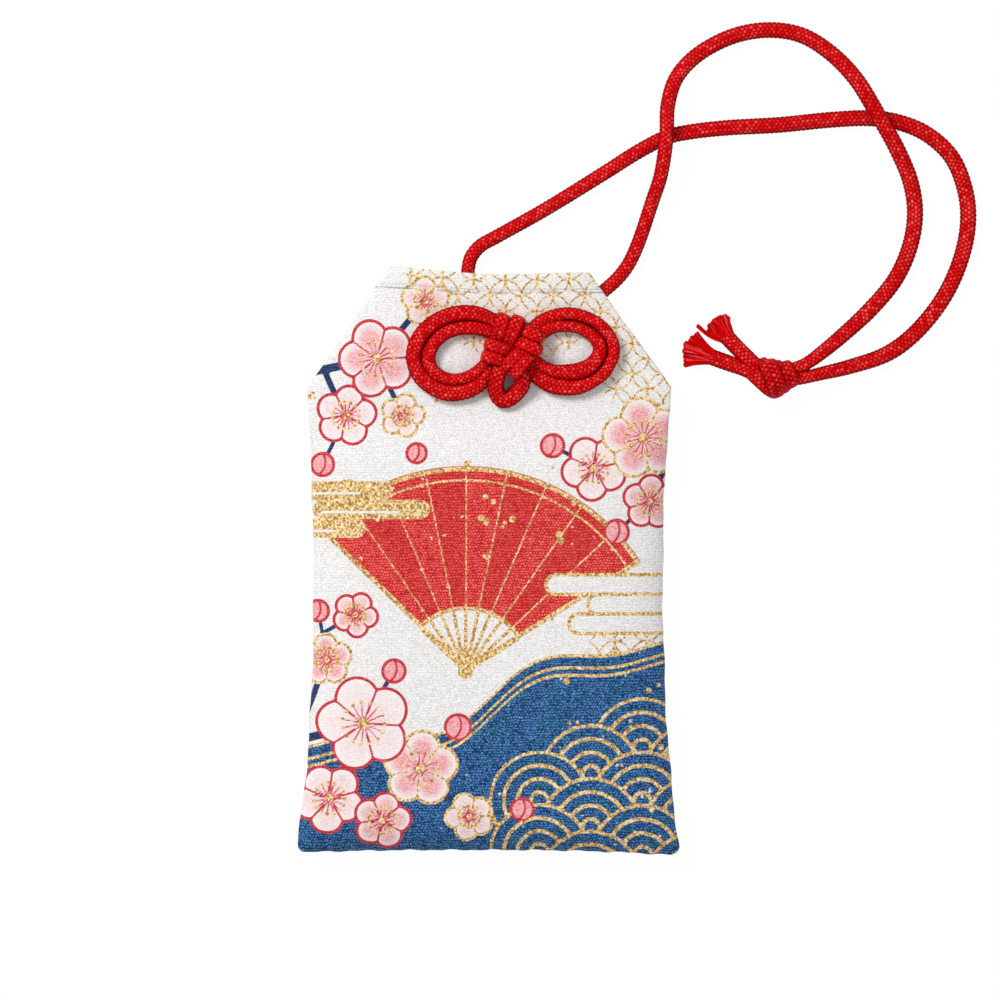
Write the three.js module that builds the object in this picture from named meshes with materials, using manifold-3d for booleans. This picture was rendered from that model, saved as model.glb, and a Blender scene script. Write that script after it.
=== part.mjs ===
// Omamori charm: a flat cloth pouch with a small wooden tablet inside, tied with a braided
// cord in a double bow knot, whose carrying loop lies beside it.
// Millimetres. The charm lies on its back: +Z is the printed front and +Y the mouth.

import * as THREE from 'three';
import { mergeVertices } from 'three/addons/utils/BufferGeometryUtils.js';
import Module from 'manifold-3d';

const wasm = await Module();
wasm.setup();
const { lerp, smoothstep } = THREE.MathUtils;

// Pouch outline
const POUCH_HEIGHT = 77.4;
const BOTTOM_WIDTH = 50.4;
const WAIST_WIDTH = 46.4;
const SHOULDER_WIDTH = 48.4;
const MOUTH_WIDTH = 26.6;
const SHOULDER_DROP = 15.4;
const WAIST_RISE = 35.7;
const BOTTOM_CORNER_RADIUS = 1.4;

// Cloth layers
const CLOTH = 0.4;
const LINING = 0.25;
const LAYER_GAP = 0.3;
const LINING_INSET = 2.6;
const HEM_DEPTH = 3.2;
const EDGE_ROUND = 6;
const BEND_LENGTH = 9;
const TUCK_MARGIN = 0.9;

// Fullness of the pouch: how steeply each face leaves the seam at the sides and at the bottom
const SEAM_SHARE = 0.45;
const FRONT_SIDE_POWER = 6;
const FRONT_BOTTOM_POWER = 2.5;
const FRONT_CROWN_POWER = 0.6;
const BACK_SIDE_POWER = 8;
const BACK_SIDE_GAIN = 2.2;
const BACK_BOTTOM_POWER = 3;
const BACK_BOTTOM_GAIN = 2;

// Contents
const CARD_WIDTH = 41;
const CARD_LENGTH = 46;
const CARD_THICKNESS = 0.6;
const CARD_CORNER = 3;
const TABLET_WIDTH = 24;
const TABLET_LENGTH = 38;
const TABLET_THICKNESS = 1.4;
const TABLET_CHAMFER = 5;
const SLEEVE_WALL = 0.3;
const SLEEVE_END = 1.2;
const SLIP_TRAVEL = 3;
const CONTENTS_RISE = 4.5;

// Cord
const CORD_DIAMETER = 1.95;
const BOW_STRAND = 1.5;
const BAND_STRAND = 1.4;
const WRAP_STRAND = 1.4;
const EYELET_CLEARANCE = 0.3;
const TABLE_CLEARANCE = 0.03;
const TASSEL_LENGTH = 3.6;
const TASSEL_WIDTH = 4.8;
const TASSEL_THICKNESS = 1.5;

// Knot centre, measured from the middle of the mouth
const KNOT_X = 3.4;
const KNOT_DROP = 10;
const KNOT_TURN = -30;

// Holes of the two cord legs and reach of the bows, measured from the knot centre
const LEFT_HOLE_X = -0.95;
const RIGHT_HOLE_X = 1.3;
const HOLE_RISE = 2.35;
const BOW_REACH = 7.9;

// Facets
const CORD_SIDES = 8;
const STRAND_SIDES = 6;
const HOLE_SIDES = 12;
const GAP_SAMPLES = 400;

// Places that follow from the sizes above
const mouthY = POUCH_HEIGHT / 2;
const bottomY = -POUCH_HEIGHT / 2;
const shoulderY = mouthY - SHOULDER_DROP;
const waistY = bottomY + WAIST_RISE;
const contentsY = bottomY + CONTENTS_RISE;
const sleeveLength = TABLET_LENGTH + 2 * SLEEVE_END;
const sleeveThickness = TABLET_THICKNESS + 2 * (SLEEVE_WALL + LAYER_GAP);
const contentsTop = contentsY + Math.max(CARD_LENGTH, sleeveLength + SLIP_TRAVEL);
const bendStart = contentsTop + LAYER_GAP;
const bendEnd = bendStart + BEND_LENGTH;

// Heights of the layers, from the table up, in the body of the pouch
const cardZ = CLOTH + LINING + 3 * LAYER_GAP;
const sleeveZ = cardZ + CARD_THICKNESS + LAYER_GAP;
const bodyFrontZ = sleeveZ + sleeveThickness + LINING + CLOTH + 3 * LAYER_GAP;

// Heights under the mouth, where the back lies on the folded corners and the cord
const tuckZ = CORD_DIAMETER + LAYER_GAP;
const mouthBackZ = tuckZ + CLOTH + LAYER_GAP;
const mouthFrontZ = mouthBackZ + 2 * (CLOTH + LINING) + 3 * LAYER_GAP;

const clothMaterial = new THREE.MeshStandardMaterial({ color: 0xeee7de, roughness: 0.85 });
const liningMaterial = new THREE.MeshStandardMaterial({ color: 0xf3f0ea, roughness: 0.9 });
const cordMaterial = new THREE.MeshStandardMaterial({ color: 0xc8101c, roughness: 0.45 });
const cardMaterial = new THREE.MeshStandardMaterial({ color: 0xc9b79a, roughness: 0.95 });
const paperMaterial = new THREE.MeshStandardMaterial({ color: 0xf6f1e4, roughness: 0.9 });
const woodMaterial = new THREE.MeshStandardMaterial({ color: 0xd9b98a, roughness: 0.7 });

const charm = new THREE.Group();

function addPiece(name, geometry, material, parent = charm) {
  const mesh = new THREE.Mesh(geometry, material.clone());
  mesh.name = name;
  parent.add(mesh);
  return mesh;
}

// Solids

function closedSolid(geometry) {
  const bare = geometry.clone();
  bare.deleteAttribute('normal');
  bare.deleteAttribute('uv');
  return mergeVertices(bare, 1e-4);
}

function toManifold(geometry) {
  const merged = closedSolid(geometry);
  return new wasm.Manifold(new wasm.Mesh({
    numProp: 3,
    vertProperties: new Float32Array(merged.attributes.position.array),
    triVerts: new Uint32Array(merged.index.array),
  }));
}

function fromManifold(solid) {
  const mesh = solid.getMesh();
  const geometry = new THREE.BufferGeometry();
  geometry.setAttribute('position', new THREE.BufferAttribute(new Float32Array(mesh.vertProperties), 3));
  geometry.setIndex(new THREE.BufferAttribute(new Uint32Array(mesh.triVerts), 1));
  geometry.computeVertexNormals();
  return geometry;
}

function polygon(sides, radius) {
  const points = [];
  for (let side = 0; side < sides; side += 1) {
    const angle = (2 * Math.PI * (side + 0.5)) / sides;
    points.push(new THREE.Vector2(radius * Math.cos(angle), radius * Math.sin(angle)));
  }
  return new THREE.Shape(points);
}

function smoothCurve(points) {
  return new THREE.CatmullRomCurve3(points.map((point) => new THREE.Vector3(...point)), false, 'centripetal');
}

function tube(curve, diameter, steps, sides) {
  return new THREE.ExtrudeGeometry(polygon(sides, diameter / 2), { steps, extrudePath: curve });
}

// Least gap between stretches of one tube that lie further apart along it than it is round
function leastGapToItself(curve, diameter) {
  const points = curve.getSpacedPoints(GAP_SAMPLES);
  const step = curve.getLength() / GAP_SAMPLES;
  const apart = Math.ceil((Math.PI * diameter) / step);
  let least = Infinity;
  for (let first = 0; first < points.length; first += 1) {
    for (let second = first + apart; second < points.length; second += 1) {
      least = Math.min(least, points[first].distanceTo(points[second]));
    }
  }
  return least - diameter;
}

// Pouch outline and surfaces

function halfWidth(y) {
  if (y > shoulderY) {
    return lerp(SHOULDER_WIDTH, MOUTH_WIDTH, (y - shoulderY) / SHOULDER_DROP) / 2;
  }
  if (y > waistY) {
    return lerp(WAIST_WIDTH, SHOULDER_WIDTH, ((y - waistY) / (shoulderY - waistY)) ** 2) / 2;
  }
  const side = lerp(WAIST_WIDTH, BOTTOM_WIDTH, ((waistY - y) / WAIST_RISE) ** 2) / 2;
  const corner = Math.max(0, BOTTOM_CORNER_RADIUS - (y - bottomY));
  return side - BOTTOM_CORNER_RADIUS + Math.sqrt(BOTTOM_CORNER_RADIUS ** 2 - corner ** 2);
}

function levelAlong(y, body, mouth) {
  return lerp(body, mouth, smoothstep(y, bendStart, bendEnd));
}

function seamLevel(y) {
  return levelAlong(y, SEAM_SHARE * bodyFrontZ, (mouthBackZ + mouthFrontZ) / 2);
}

function edgeShares(x, y) {
  const across = Math.min(1, Math.abs(x) / halfWidth(y));
  const up = Math.min(1, Math.max(0, y - bottomY) / EDGE_ROUND);
  return { across, up };
}

function frontSurface(x, y) {
  const { across, up } = edgeShares(x, y);
  const side = 1 - across ** FRONT_SIDE_POWER;
  const bottom = 1 - (1 - up) ** FRONT_BOTTOM_POWER;
  const edge = seamLevel(y) + LAYER_GAP / 2 + CLOTH;
  return lerp(edge, levelAlong(y, bodyFrontZ, mouthFrontZ), (side * bottom) ** FRONT_CROWN_POWER);
}

function backSurface(x, y) {
  const { across, up } = edgeShares(x, y);
  const side = Math.min(1, BACK_SIDE_GAIN * (1 - across ** BACK_SIDE_POWER));
  const bottom = Math.min(1, BACK_BOTTOM_GAIN * (1 - (1 - up) ** BACK_BOTTOM_POWER));
  const edge = seamLevel(y) - LAYER_GAP / 2 - CLOTH;
  return lerp(edge, levelAlong(y, 0, mouthBackZ), side * bottom);
}

function rowsBetween(stops, counts) {
  const rows = [stops[0]];
  counts.forEach((count, span) => {
    for (let step = 1; step <= count; step += 1) {
      rows.push(lerp(stops[span], stops[span + 1], step / count));
    }
  });
  return rows;
}

// A layer of cloth: a grid whose rows run from edge to edge, closed between two surfaces
function clothLayer({ rows, columns, leftEdge, rightEdge, under, over }) {
  const grid = rows.map((y) => {
    const row = [];
    for (let column = 0; column <= columns; column += 1) {
      const share = 0.5 + 0.5 * Math.sin(Math.PI * (column / columns - 0.5));
      row.push([lerp(leftEdge(y), rightEdge(y), share), y]);
    }
    return row;
  });
  const wide = columns + 1;
  const flat = grid.flat();
  const positions = [
    ...flat.map(([x, y]) => [x, y, over(x, y)]),
    ...flat.map(([x, y]) => [x, y, under(x, y)]),
  ];
  const lower = flat.length;
  const index = [];
  for (let row = 0; row + 1 < rows.length; row += 1) {
    for (let column = 0; column < columns; column += 1) {
      const a = row * wide + column;
      const b = a + 1;
      const c = b + wide;
      const d = a + wide;
      index.push(a, b, c, a, c, d);
      index.push(lower + a, lower + c, lower + b, lower + a, lower + d, lower + c);
    }
  }
  const last = rows.length - 1;
  const border = [];
  for (let column = 0; column < columns; column += 1) border.push(column);
  for (let row = 0; row < last; row += 1) border.push(row * wide + columns);
  for (let column = columns; column > 0; column -= 1) border.push(last * wide + column);
  for (let row = last; row > 0; row -= 1) border.push(row * wide);
  border.forEach((p, place) => {
    const q = border[(place + 1) % border.length];
    index.push(lower + p, lower + q, q, lower + p, q, p);
  });
  const geometry = new THREE.BufferGeometry();
  geometry.setAttribute('position', new THREE.Float32BufferAttribute(positions.flat(), 3));
  geometry.setIndex(index);
  geometry.computeVertexNormals();
  return geometry;
}

// Cord: places of the knot, the legs behind it and the strands of the loop

const knotY = mouthY - KNOT_DROP;
const bowSeatZ = levelAlong(knotY - BOW_REACH, bodyFrontZ, mouthFrontZ);
const bowZ = bowSeatZ + LAYER_GAP + BOW_STRAND / 2;
const bandPitch = BAND_STRAND + LAYER_GAP;
const lowBandZ = bowZ + (BOW_STRAND + BAND_STRAND) / 2 + LAYER_GAP;
const highBandZ = lowBandZ + bandPitch;
const looseZ = CORD_DIAMETER / 2 + TABLE_CLEARANCE;
const overZ = looseZ + CORD_DIAMETER + LAYER_GAP;
const wrapZ = CORD_DIAMETER / 2 + WRAP_STRAND + LAYER_GAP;

// Where the two legs go through the pouch
const legHoles = [
  { x: KNOT_X + LEFT_HOLE_X, y: knotY + HOLE_RISE },
  { x: KNOT_X + RIGHT_HOLE_X, y: knotY + HOLE_RISE },
];

function pierced(geometry) {
  const hole = CORD_DIAMETER / 2 + EYELET_CLEARANCE;
  let solid = toManifold(geometry);
  legHoles.forEach(({ x, y }) => {
    const punch = new THREE.CylinderGeometry(hole, hole, 4 * mouthFrontZ, HOLE_SIDES);
    punch.rotateX(Math.PI / 2);
    punch.translate(x, y, 0);
    solid = solid.subtract(toManifold(punch));
  });
  return fromManifold(solid);
}

// Pouch cloths and linings

function buildCloths() {
  const turns = [bendStart, bendEnd, shoulderY].sort((low, high) => low - high);
  const rows = rowsBetween(
    [bottomY, bottomY + BOTTOM_CORNER_RADIUS, bottomY + EDGE_ROUND, ...turns, mouthY],
    [2, 3, 6, 4, 1, 4],
  );
  const outline = { rows, columns: 14, leftEdge: (y) => -halfWidth(y), rightEdge: halfWidth };
  addPiece('front_cloth', pierced(clothLayer({
    ...outline,
    over: frontSurface,
    under: (x, y) => frontSurface(x, y) - CLOTH,
  })), clothMaterial);
  addPiece('back_cloth', pierced(clothLayer({
    ...outline,
    over: (x, y) => backSurface(x, y) + CLOTH,
    under: backSurface,
  })), clothMaterial);

  const liningRows = rowsBetween(
    [bottomY + LINING_INSET, bottomY + EDGE_ROUND, bendStart, bendEnd, mouthY - HEM_DEPTH - LAYER_GAP],
    [2, 4, 4, 3],
  );
  const liningEdge = (y) => halfWidth(y) - LINING_INSET;
  const lining = { rows: liningRows, columns: 10, leftEdge: (y) => -liningEdge(y), rightEdge: liningEdge };
  const frontInside = (x, y) => frontSurface(x, y) - CLOTH - LAYER_GAP;
  const backInside = (x, y) => backSurface(x, y) + CLOTH + LAYER_GAP;
  addPiece('front_lining', pierced(clothLayer({
    ...lining,
    over: frontInside,
    under: (x, y) => frontInside(x, y) - LINING,
  })), liningMaterial);
  addPiece('back_lining', pierced(clothLayer({
    ...lining,
    over: (x, y) => backInside(x, y) + LINING,
    under: backInside,
  })), liningMaterial);

  const hem = {
    rows: rowsBetween([mouthY - HEM_DEPTH, mouthY - LAYER_GAP], [2]),
    columns: 8,
    leftEdge: lining.leftEdge,
    rightEdge: lining.rightEdge,
  };
  addPiece('mouth_hem_front', clothLayer({
    ...hem,
    over: frontInside,
    under: (x, y) => frontInside(x, y) - LINING,
  }), clothMaterial);
  addPiece('mouth_hem_back', clothLayer({
    ...hem,
    over: (x, y) => backInside(x, y) + LINING,
    under: backInside,
  }), clothMaterial);
}

// Upper corners folded behind the pouch: each is the cut corner turned over the shoulder line
function buildCornerTucks() {
  const shoulderX = SHOULDER_WIDTH / 2;
  const mouthX = MOUTH_WIDTH / 2;
  const run = shoulderX - mouthX;
  const slope = Math.hypot(run, SHOULDER_DROP);
  const fold = (2 * run * SHOULDER_DROP) / slope ** 2;
  const tipX = shoulderX - fold * SHOULDER_DROP;
  const tipY = mouthY - fold * run;
  const outerEdge = (y) => halfWidth(y) - LAYER_GAP;
  const innerEdge = (y) => {
    const low = lerp(shoulderX, tipX, (y - shoulderY) / (tipY - shoulderY));
    const high = lerp(tipX, mouthX, (y - tipY) / (mouthY - tipY));
    return y < tipY ? low : high;
  };
  const rows = rowsBetween([shoulderY + TUCK_MARGIN, tipY, mouthY - TUCK_MARGIN], [3, 4]);
  const under = (x, y) => backSurface(0, y) - CLOTH - LAYER_GAP;
  const over = (x, y) => backSurface(0, y) - LAYER_GAP;
  addPiece('left_corner_tuck', clothLayer({
    rows, columns: 4, leftEdge: (y) => -outerEdge(y), rightEdge: (y) => -innerEdge(y), under, over,
  }), clothMaterial);
  addPiece('right_corner_tuck', clothLayer({
    rows, columns: 4, leftEdge: innerEdge, rightEdge: outerEdge, under, over,
  }), clothMaterial);
}

// Contents: the card lies on the back lining, the tablet in its sleeve lies on the card

function roundedRectangle(width, height, radius) {
  const x = width / 2;
  const y = height / 2;
  const shape = new THREE.Shape();
  shape.moveTo(-x + radius, -y);
  shape.absarc(x - radius, -y + radius, radius, -Math.PI / 2, 0);
  shape.absarc(x - radius, y - radius, radius, 0, Math.PI / 2);
  shape.absarc(-x + radius, y - radius, radius, Math.PI / 2, Math.PI);
  shape.absarc(-x + radius, -y + radius, radius, Math.PI, 1.5 * Math.PI);
  return shape;
}

function buildContents() {
  const card = new THREE.ExtrudeGeometry(
    roundedRectangle(CARD_WIDTH, CARD_LENGTH, CARD_CORNER),
    { depth: CARD_THICKNESS, bevelEnabled: false, curveSegments: 4 },
  );
  addPiece('stiffener_card', card, cardMaterial).position.set(0, contentsY + CARD_LENGTH / 2, cardZ);

  const x = TABLET_WIDTH / 2;
  const y = TABLET_LENGTH / 2;
  const tabletShape = new THREE.Shape([
    [-x, -y], [x, -y], [x, y - TABLET_CHAMFER], [x - TABLET_CHAMFER, y],
    [-x + TABLET_CHAMFER, y], [-x, y - TABLET_CHAMFER],
  ].map(([px, py]) => new THREE.Vector2(px, py)));
  const tablet = new THREE.ExtrudeGeometry(tabletShape, { depth: TABLET_THICKNESS, bevelEnabled: false });
  const slip = new THREE.Group();
  slip.position.set(0, contentsY + sleeveLength / 2, sleeveZ);
  charm.add(slip);
  addPiece('wooden_tablet', tablet, woodMaterial, slip).position.z = SLEEVE_WALL + LAYER_GAP;

  const innerWidth = TABLET_WIDTH + 2 * LAYER_GAP;
  const section = new THREE.Shape(rectangle(innerWidth + 2 * SLEEVE_WALL, sleeveThickness));
  section.holes.push(new THREE.Path(rectangle(innerWidth, TABLET_THICKNESS + 2 * LAYER_GAP)));
  const sleeve = new THREE.ExtrudeGeometry(section, { depth: sleeveLength, bevelEnabled: false });
  sleeve.rotateX(Math.PI / 2);
  sleeve.translate(0, sleeveLength / 2, sleeveThickness / 2);
  addPiece('paper_sleeve', sleeve, paperMaterial, slip);
}

function rectangle(width, height) {
  return [[-1, -1], [1, -1], [1, 1], [-1, 1]]
    .map(([x, y]) => new THREE.Vector2((x * width) / 2, (y * height) / 2));
}

// Double bow knot: each bow is one strand wound in two turns, its crossing hidden under the
// bands. Points are measured from the knot centre.

const LEFT_BOW = [
  [-2.0, 3.1], [-3.5, 4.0], [-6.8, 4.7], [-10.4, 3.6], [-12.8, 1.1], [-13.1, -1.7], [-11.7, -4.3],
  [-8.7, -6.0], [-5.7, -5.4], [-4.0, -4.1], [-2.9, -2.5], [-2.4, -0.7], [-2.7, 0.8], [-3.9, 1.9],
  [-6.8, 2.5], [-9.2, 1.8], [-10.8, 0.0], [-10.9, -1.9], [-9.7, -3.4], [-7.7, -3.8], [-5.9, -3.2],
  [-5.2, -2.1],
];
const RIGHT_BOW = [
  [3.3, 3.2], [4.4, 3.9], [6.7, 4.4], [10.0, 4.0], [12.4, 2.3], [13.2, -0.1], [12.0, -2.8],
  [9.7, -4.5], [6.7, -5.5], [4.4, -5.1], [2.9, -4.0], [2.1, -2.5], [2.1, -0.9], [2.9, 0.5],
  [4.4, 1.5], [6.7, 2.2], [9.3, 2.0], [10.8, 0.9], [11.1, -0.3], [10.2, -1.9], [8.5, -2.9],
  [6.4, -3.4], [4.7, -3.0],
];
const BOTTOM_LOOP = [
  [-1.2, -3.75], [-1.85, -4.9], [-1.6, -6.25], [-0.4, -7.15], [0.85, -6.25], [1.1, -4.9], [0.6, -3.75],
];
const BOW_STEPS = 48;
const LOOP_STEPS = 16;

function buildBows() {
  const atKnot = ([x, y]) => [KNOT_X + x, knotY + y, bowZ];
  [['left_bow', LEFT_BOW], ['right_bow', RIGHT_BOW]].forEach(([name, points]) => {
    const curve = smoothCurve(points.map(atKnot));
    addPiece(name, tube(curve, BOW_STRAND, BOW_STEPS, STRAND_SIDES), cordMaterial);
    console.log(`${name}: least gap to itself ${leastGapToItself(curve, BOW_STRAND).toFixed(2)} mm`);
  });
  const loop = smoothCurve(BOTTOM_LOOP.map(atKnot));
  addPiece('knot_bottom_loop', tube(loop, BOW_STRAND, LOOP_STEPS, STRAND_SIDES), cordMaterial);
}

// The four bands of the knot's face turn round its centre. Each band is two strands, which
// pass over the ends of the band before it and dive under the band after it.

const BANDS = ['top', 'left', 'bottom', 'right'];
const BAND_STEPS = 14;
const BAND_STATIONS = 10;
const BAND_DIP = 1.05;
const nearStrand = 0.88 * bandPitch;
const farStrand = nearStrand + bandPitch;

function bandCurve(offset, outer, inner) {
  const points = [];
  for (let station = 0; station <= BAND_STATIONS; station += 1) {
    const along = lerp(outer, inner, station / BAND_STATIONS);
    const passed = THREE.MathUtils.clamp((along + nearStrand) / (2 * nearStrand), 0, 1);
    const climb = 0.5 - 0.5 * Math.cos(Math.PI * passed);
    const turnedDown = Math.max(0, 1 - (outer - along) / BAND_STRAND) ** 2 * BAND_DIP;
    points.push([-offset, along, lerp(lowBandZ, highBandZ, climb) - turnedDown]);
  }
  return smoothCurve(points);
}

function buildBands() {
  const strands = [
    {
      label: 'inner',
      offset: nearStrand,
      outer: farStrand + 0.7 * BAND_STRAND,
      inner: -nearStrand - 0.6 * BAND_STRAND,
    },
    {
      label: 'outer',
      offset: farStrand,
      outer: farStrand - 0.2 * BAND_STRAND,
      inner: -0.25 * BAND_STRAND,
    },
  ];
  BANDS.forEach((band, quarter) => {
    strands.forEach(({ label, offset, outer, inner }) => {
      const strand = tube(bandCurve(offset, outer, inner), BAND_STRAND, BAND_STEPS, STRAND_SIDES);
      const piece = addPiece(`knot_${band}_band_${label}`, strand, cordMaterial);
      piece.position.set(KNOT_X, knotY, 0);
      piece.rotation.z = THREE.MathUtils.degToRad(KNOT_TURN) + (quarter * Math.PI) / 2;
    });
  });
}

// Legs of the cord: down through the pouch behind the knot, then along the back to its edge.
// Points after the hole are measured from the middle of the mouth.

const LEFT_LEG = [[1.0, -6.3], [-1.1, -4.2], [-2.5, -2.0], [-2.8, -0.15]];
const RIGHT_LEG = [[6.6, -7.5], [9.6, -7.0], [12.6, -5.2], [15.1, -2.95]];
const LEG_STEPS = 18;
const LEG_TURN = 0.3;
const LEG_TURN_RISE = 0.68;

function buildLegs() {
  const turnZ = looseZ + LEG_TURN_RISE;
  [['left_cord_leg', LEFT_LEG], ['right_cord_leg', RIGHT_LEG]].forEach(([name, route], side) => {
    const { x, y } = legHoles[side];
    const points = [
      [x, y, bowZ + BOW_STRAND / 4],
      [x, y, mouthFrontZ],
      [x, y, mouthBackZ],
      [lerp(x, route[0][0], LEG_TURN), lerp(y, mouthY + route[0][1], LEG_TURN), turnZ],
      ...route.map(([px, py]) => [px, mouthY + py, looseZ]),
    ];
    addPiece(name, tube(smoothCurve(points), CORD_DIAMETER, LEG_STEPS, CORD_SIDES), cordMaterial);
  });
}

// Strands of the carrying loop, from the edge of the pouch through the end knot to their
// frayed ends. Points are measured from the middle of the mouth.

const LEFT_STRAND = [
  [-2.8, 0.2, looseZ], [-2.4, 2.0, looseZ], [-1.1, 3.6, looseZ], [1.3, 4.9, looseZ], [7.5, 8.4, looseZ],
  [16.1, 13.4, looseZ], [20.3, 16.0, looseZ], [24.1, 18.0, looseZ], [27.0, 18.7, looseZ],
  [31.8, 19.3, looseZ], [38.9, 19.7, looseZ], [46.1, 20.4, looseZ], [50.9, 20.6, looseZ],
  [54.6, 20.1, looseZ], [58.5, 18.4, looseZ], [61.8, 15.3, looseZ], [63.7, 11.0, looseZ],
  [64.2, 6.8, looseZ], [63.4, 2.0, looseZ], [61.3, -3.2, looseZ], [57.5, -8.0, looseZ],
  [53.7, -11.0, looseZ], [48.5, -12.9, 1.2], [45.0, -14.0, 1.9], [43.3, -14.8, 2.4], [41.8, -15.0, wrapZ],
  [38.5, -15.0, wrapZ], [35.3, -15.0, wrapZ], [33.8, -14.2, 2.2], [32.0, -12.7, 1.4], [29.9, -11.3, looseZ],
];
const RIGHT_STRAND = [
  [15.5, -2.6, looseZ], [17.3, -1.0, looseZ], [18.7, 1.0, looseZ], [19.9, 3.7, looseZ],
  [21.9, 9.6, 1.5], [23.0, 13.0, 2.5], [23.8, 18.1, overZ], [23.9, 22.4, 2.5], [25.1, 26.2, 1.4],
  [27.9, 29.3, looseZ], [32.7, 31.7, looseZ], [37.5, 32.4, looseZ], [41.8, 31.6, looseZ],
  [45.5, 29.3, 1.5], [48.9, 25.7, 2.6], [51.8, 21.0, overZ], [54.6, 16.2, 2.5], [56.5, 12.0, 1.4],
  [57.1, 8.1, looseZ], [56.7, 3.8, looseZ], [55.1, -1.0, looseZ], [51.8, -5.2, looseZ],
  [47.5, -9.2, 1.2], [44.6, -11.6, 2.0], [43.2, -12.5, 2.4], [41.8, -12.8, wrapZ], [38.5, -12.8, wrapZ],
  [35.5, -12.8, wrapZ], [34.3, -11.5, 2.6], [33.0, -9.8, 1.7], [31.7, -8.2, looseZ],
];
const STRAND_STEP = 2.5 * CORD_DIAMETER;

// End knot: the cord's wrap, two turns round both strands
const WRAP_CENTRE = [38.5, -13.9];
const WRAP_TURNS = 2;
const WRAP_SPACING = 0.5;
const PAIR_SPACING = 2.2;
const WRAP_CLEARANCE = 0.45;
const WRAP_STATIONS = 16;
const WRAP_STEPS = 24;

function wrapCurve() {
  const high = wrapZ - WRAP_STRAND / 2;
  const wide = (PAIR_SPACING + CORD_DIAMETER + WRAP_STRAND) / 2 + WRAP_CLEARANCE;
  const pitch = WRAP_STRAND + WRAP_SPACING;
  const points = [];
  const stations = WRAP_STATIONS * WRAP_TURNS;
  for (let station = 0; station <= stations; station += 1) {
    const turn = (WRAP_TURNS * station) / stations;
    const angle = 2 * Math.PI * (turn - 0.25);
    points.push([
      WRAP_CENTRE[0] + pitch * (turn - WRAP_TURNS / 2),
      mouthY + WRAP_CENTRE[1] + wide * Math.cos(angle),
      wrapZ + high * Math.sin(angle),
    ]);
  }
  return smoothCurve(points);
}

// A frayed end: a fan that widens and flattens from the cord's round section
function tassel() {
  const stations = 4;
  const sides = CORD_SIDES;
  const positions = [];
  const index = [];
  for (let station = 0; station <= stations; station += 1) {
    const share = station / stations;
    const open = smoothstep(share, 0, 1);
    const wide = lerp(CORD_DIAMETER, TASSEL_WIDTH, open) / 2;
    const thick = lerp(CORD_DIAMETER, TASSEL_THICKNESS, open) / 2;
    for (let side = 0; side < sides; side += 1) {
      const angle = (2 * Math.PI * (side + 0.5)) / sides;
      positions.push(share * TASSEL_LENGTH, wide * Math.cos(angle), thick * Math.sin(angle));
    }
  }
  for (let station = 0; station < stations; station += 1) {
    for (let side = 0; side < sides; side += 1) {
      const a = station * sides + side;
      const b = station * sides + ((side + 1) % sides);
      index.push(a, b, b + sides, a, b + sides, a + sides);
    }
  }
  const end = stations * sides;
  for (let side = 1; side + 1 < sides; side += 1) {
    index.push(0, side + 1, side);
    index.push(end, end + side, end + side + 1);
  }
  const geometry = new THREE.BufferGeometry();
  geometry.setAttribute('position', new THREE.Float32BufferAttribute(positions, 3));
  geometry.setIndex(index);
  geometry.computeVertexNormals();
  return geometry;
}

const STRANDS = [
  { name: 'left_strand', route: LEFT_STRAND, endName: 'lower_tassel', heading: 164 },
  { name: 'right_strand', route: RIGHT_STRAND, endName: 'upper_tassel', heading: 133 },
];

function buildLoop() {
  STRANDS.forEach(({ name, route, endName, heading }) => {
    const curve = smoothCurve(route.map(([x, y, z]) => [x, mouthY + y, z]));
    const steps = Math.ceil(curve.getLength() / STRAND_STEP);
    addPiece(name, tube(curve, CORD_DIAMETER, steps, CORD_SIDES), cordMaterial);
    const [x, y] = route.at(-1);
    const turn = THREE.MathUtils.degToRad(heading);
    const fan = addPiece(endName, tassel(), cordMaterial);
    fan.position.set(x + LAYER_GAP * Math.cos(turn), mouthY + y + LAYER_GAP * Math.sin(turn), looseZ);
    fan.rotation.z = turn;
  });
  const wrap = wrapCurve();
  addPiece('end_knot_wrap', tube(wrap, WRAP_STRAND, WRAP_STEPS * WRAP_TURNS, STRAND_SIDES), cordMaterial);
  console.log(`end_knot_wrap: least gap to itself ${leastGapToItself(wrap, WRAP_STRAND).toFixed(2)} mm`);
}

buildCloths();
buildCornerTucks();
buildContents();
buildBows();
buildBands();
buildLegs();
buildLoop();

export default charm;
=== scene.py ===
"""Looks of an omamori charm: a printed cloth pouch tied in front with a double bow knot of red cord.

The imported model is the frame: +Z is the printed front, +Y the mouth. Sizes are in millimetres until a
mesh is made, and every mesh is in metres.
"""

import logging
import math
from dataclasses import dataclass, field
from enum import Enum
from typing import Any, NamedTuple, Sequence

import bpy
import numpy as np
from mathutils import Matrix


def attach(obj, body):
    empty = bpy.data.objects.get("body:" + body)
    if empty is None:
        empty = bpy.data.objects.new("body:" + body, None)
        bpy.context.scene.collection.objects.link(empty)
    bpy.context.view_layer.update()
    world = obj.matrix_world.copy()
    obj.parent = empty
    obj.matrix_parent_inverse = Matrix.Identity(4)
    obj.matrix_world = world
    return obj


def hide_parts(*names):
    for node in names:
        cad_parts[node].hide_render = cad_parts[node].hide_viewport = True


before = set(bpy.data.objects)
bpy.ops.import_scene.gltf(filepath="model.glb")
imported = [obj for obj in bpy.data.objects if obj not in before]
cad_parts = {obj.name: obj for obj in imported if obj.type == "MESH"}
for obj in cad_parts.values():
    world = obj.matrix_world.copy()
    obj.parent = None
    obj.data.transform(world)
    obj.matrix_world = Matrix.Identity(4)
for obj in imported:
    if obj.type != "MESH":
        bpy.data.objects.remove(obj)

LOG = logging.getLogger("omamori_charm")
MM = 0.001
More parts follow.
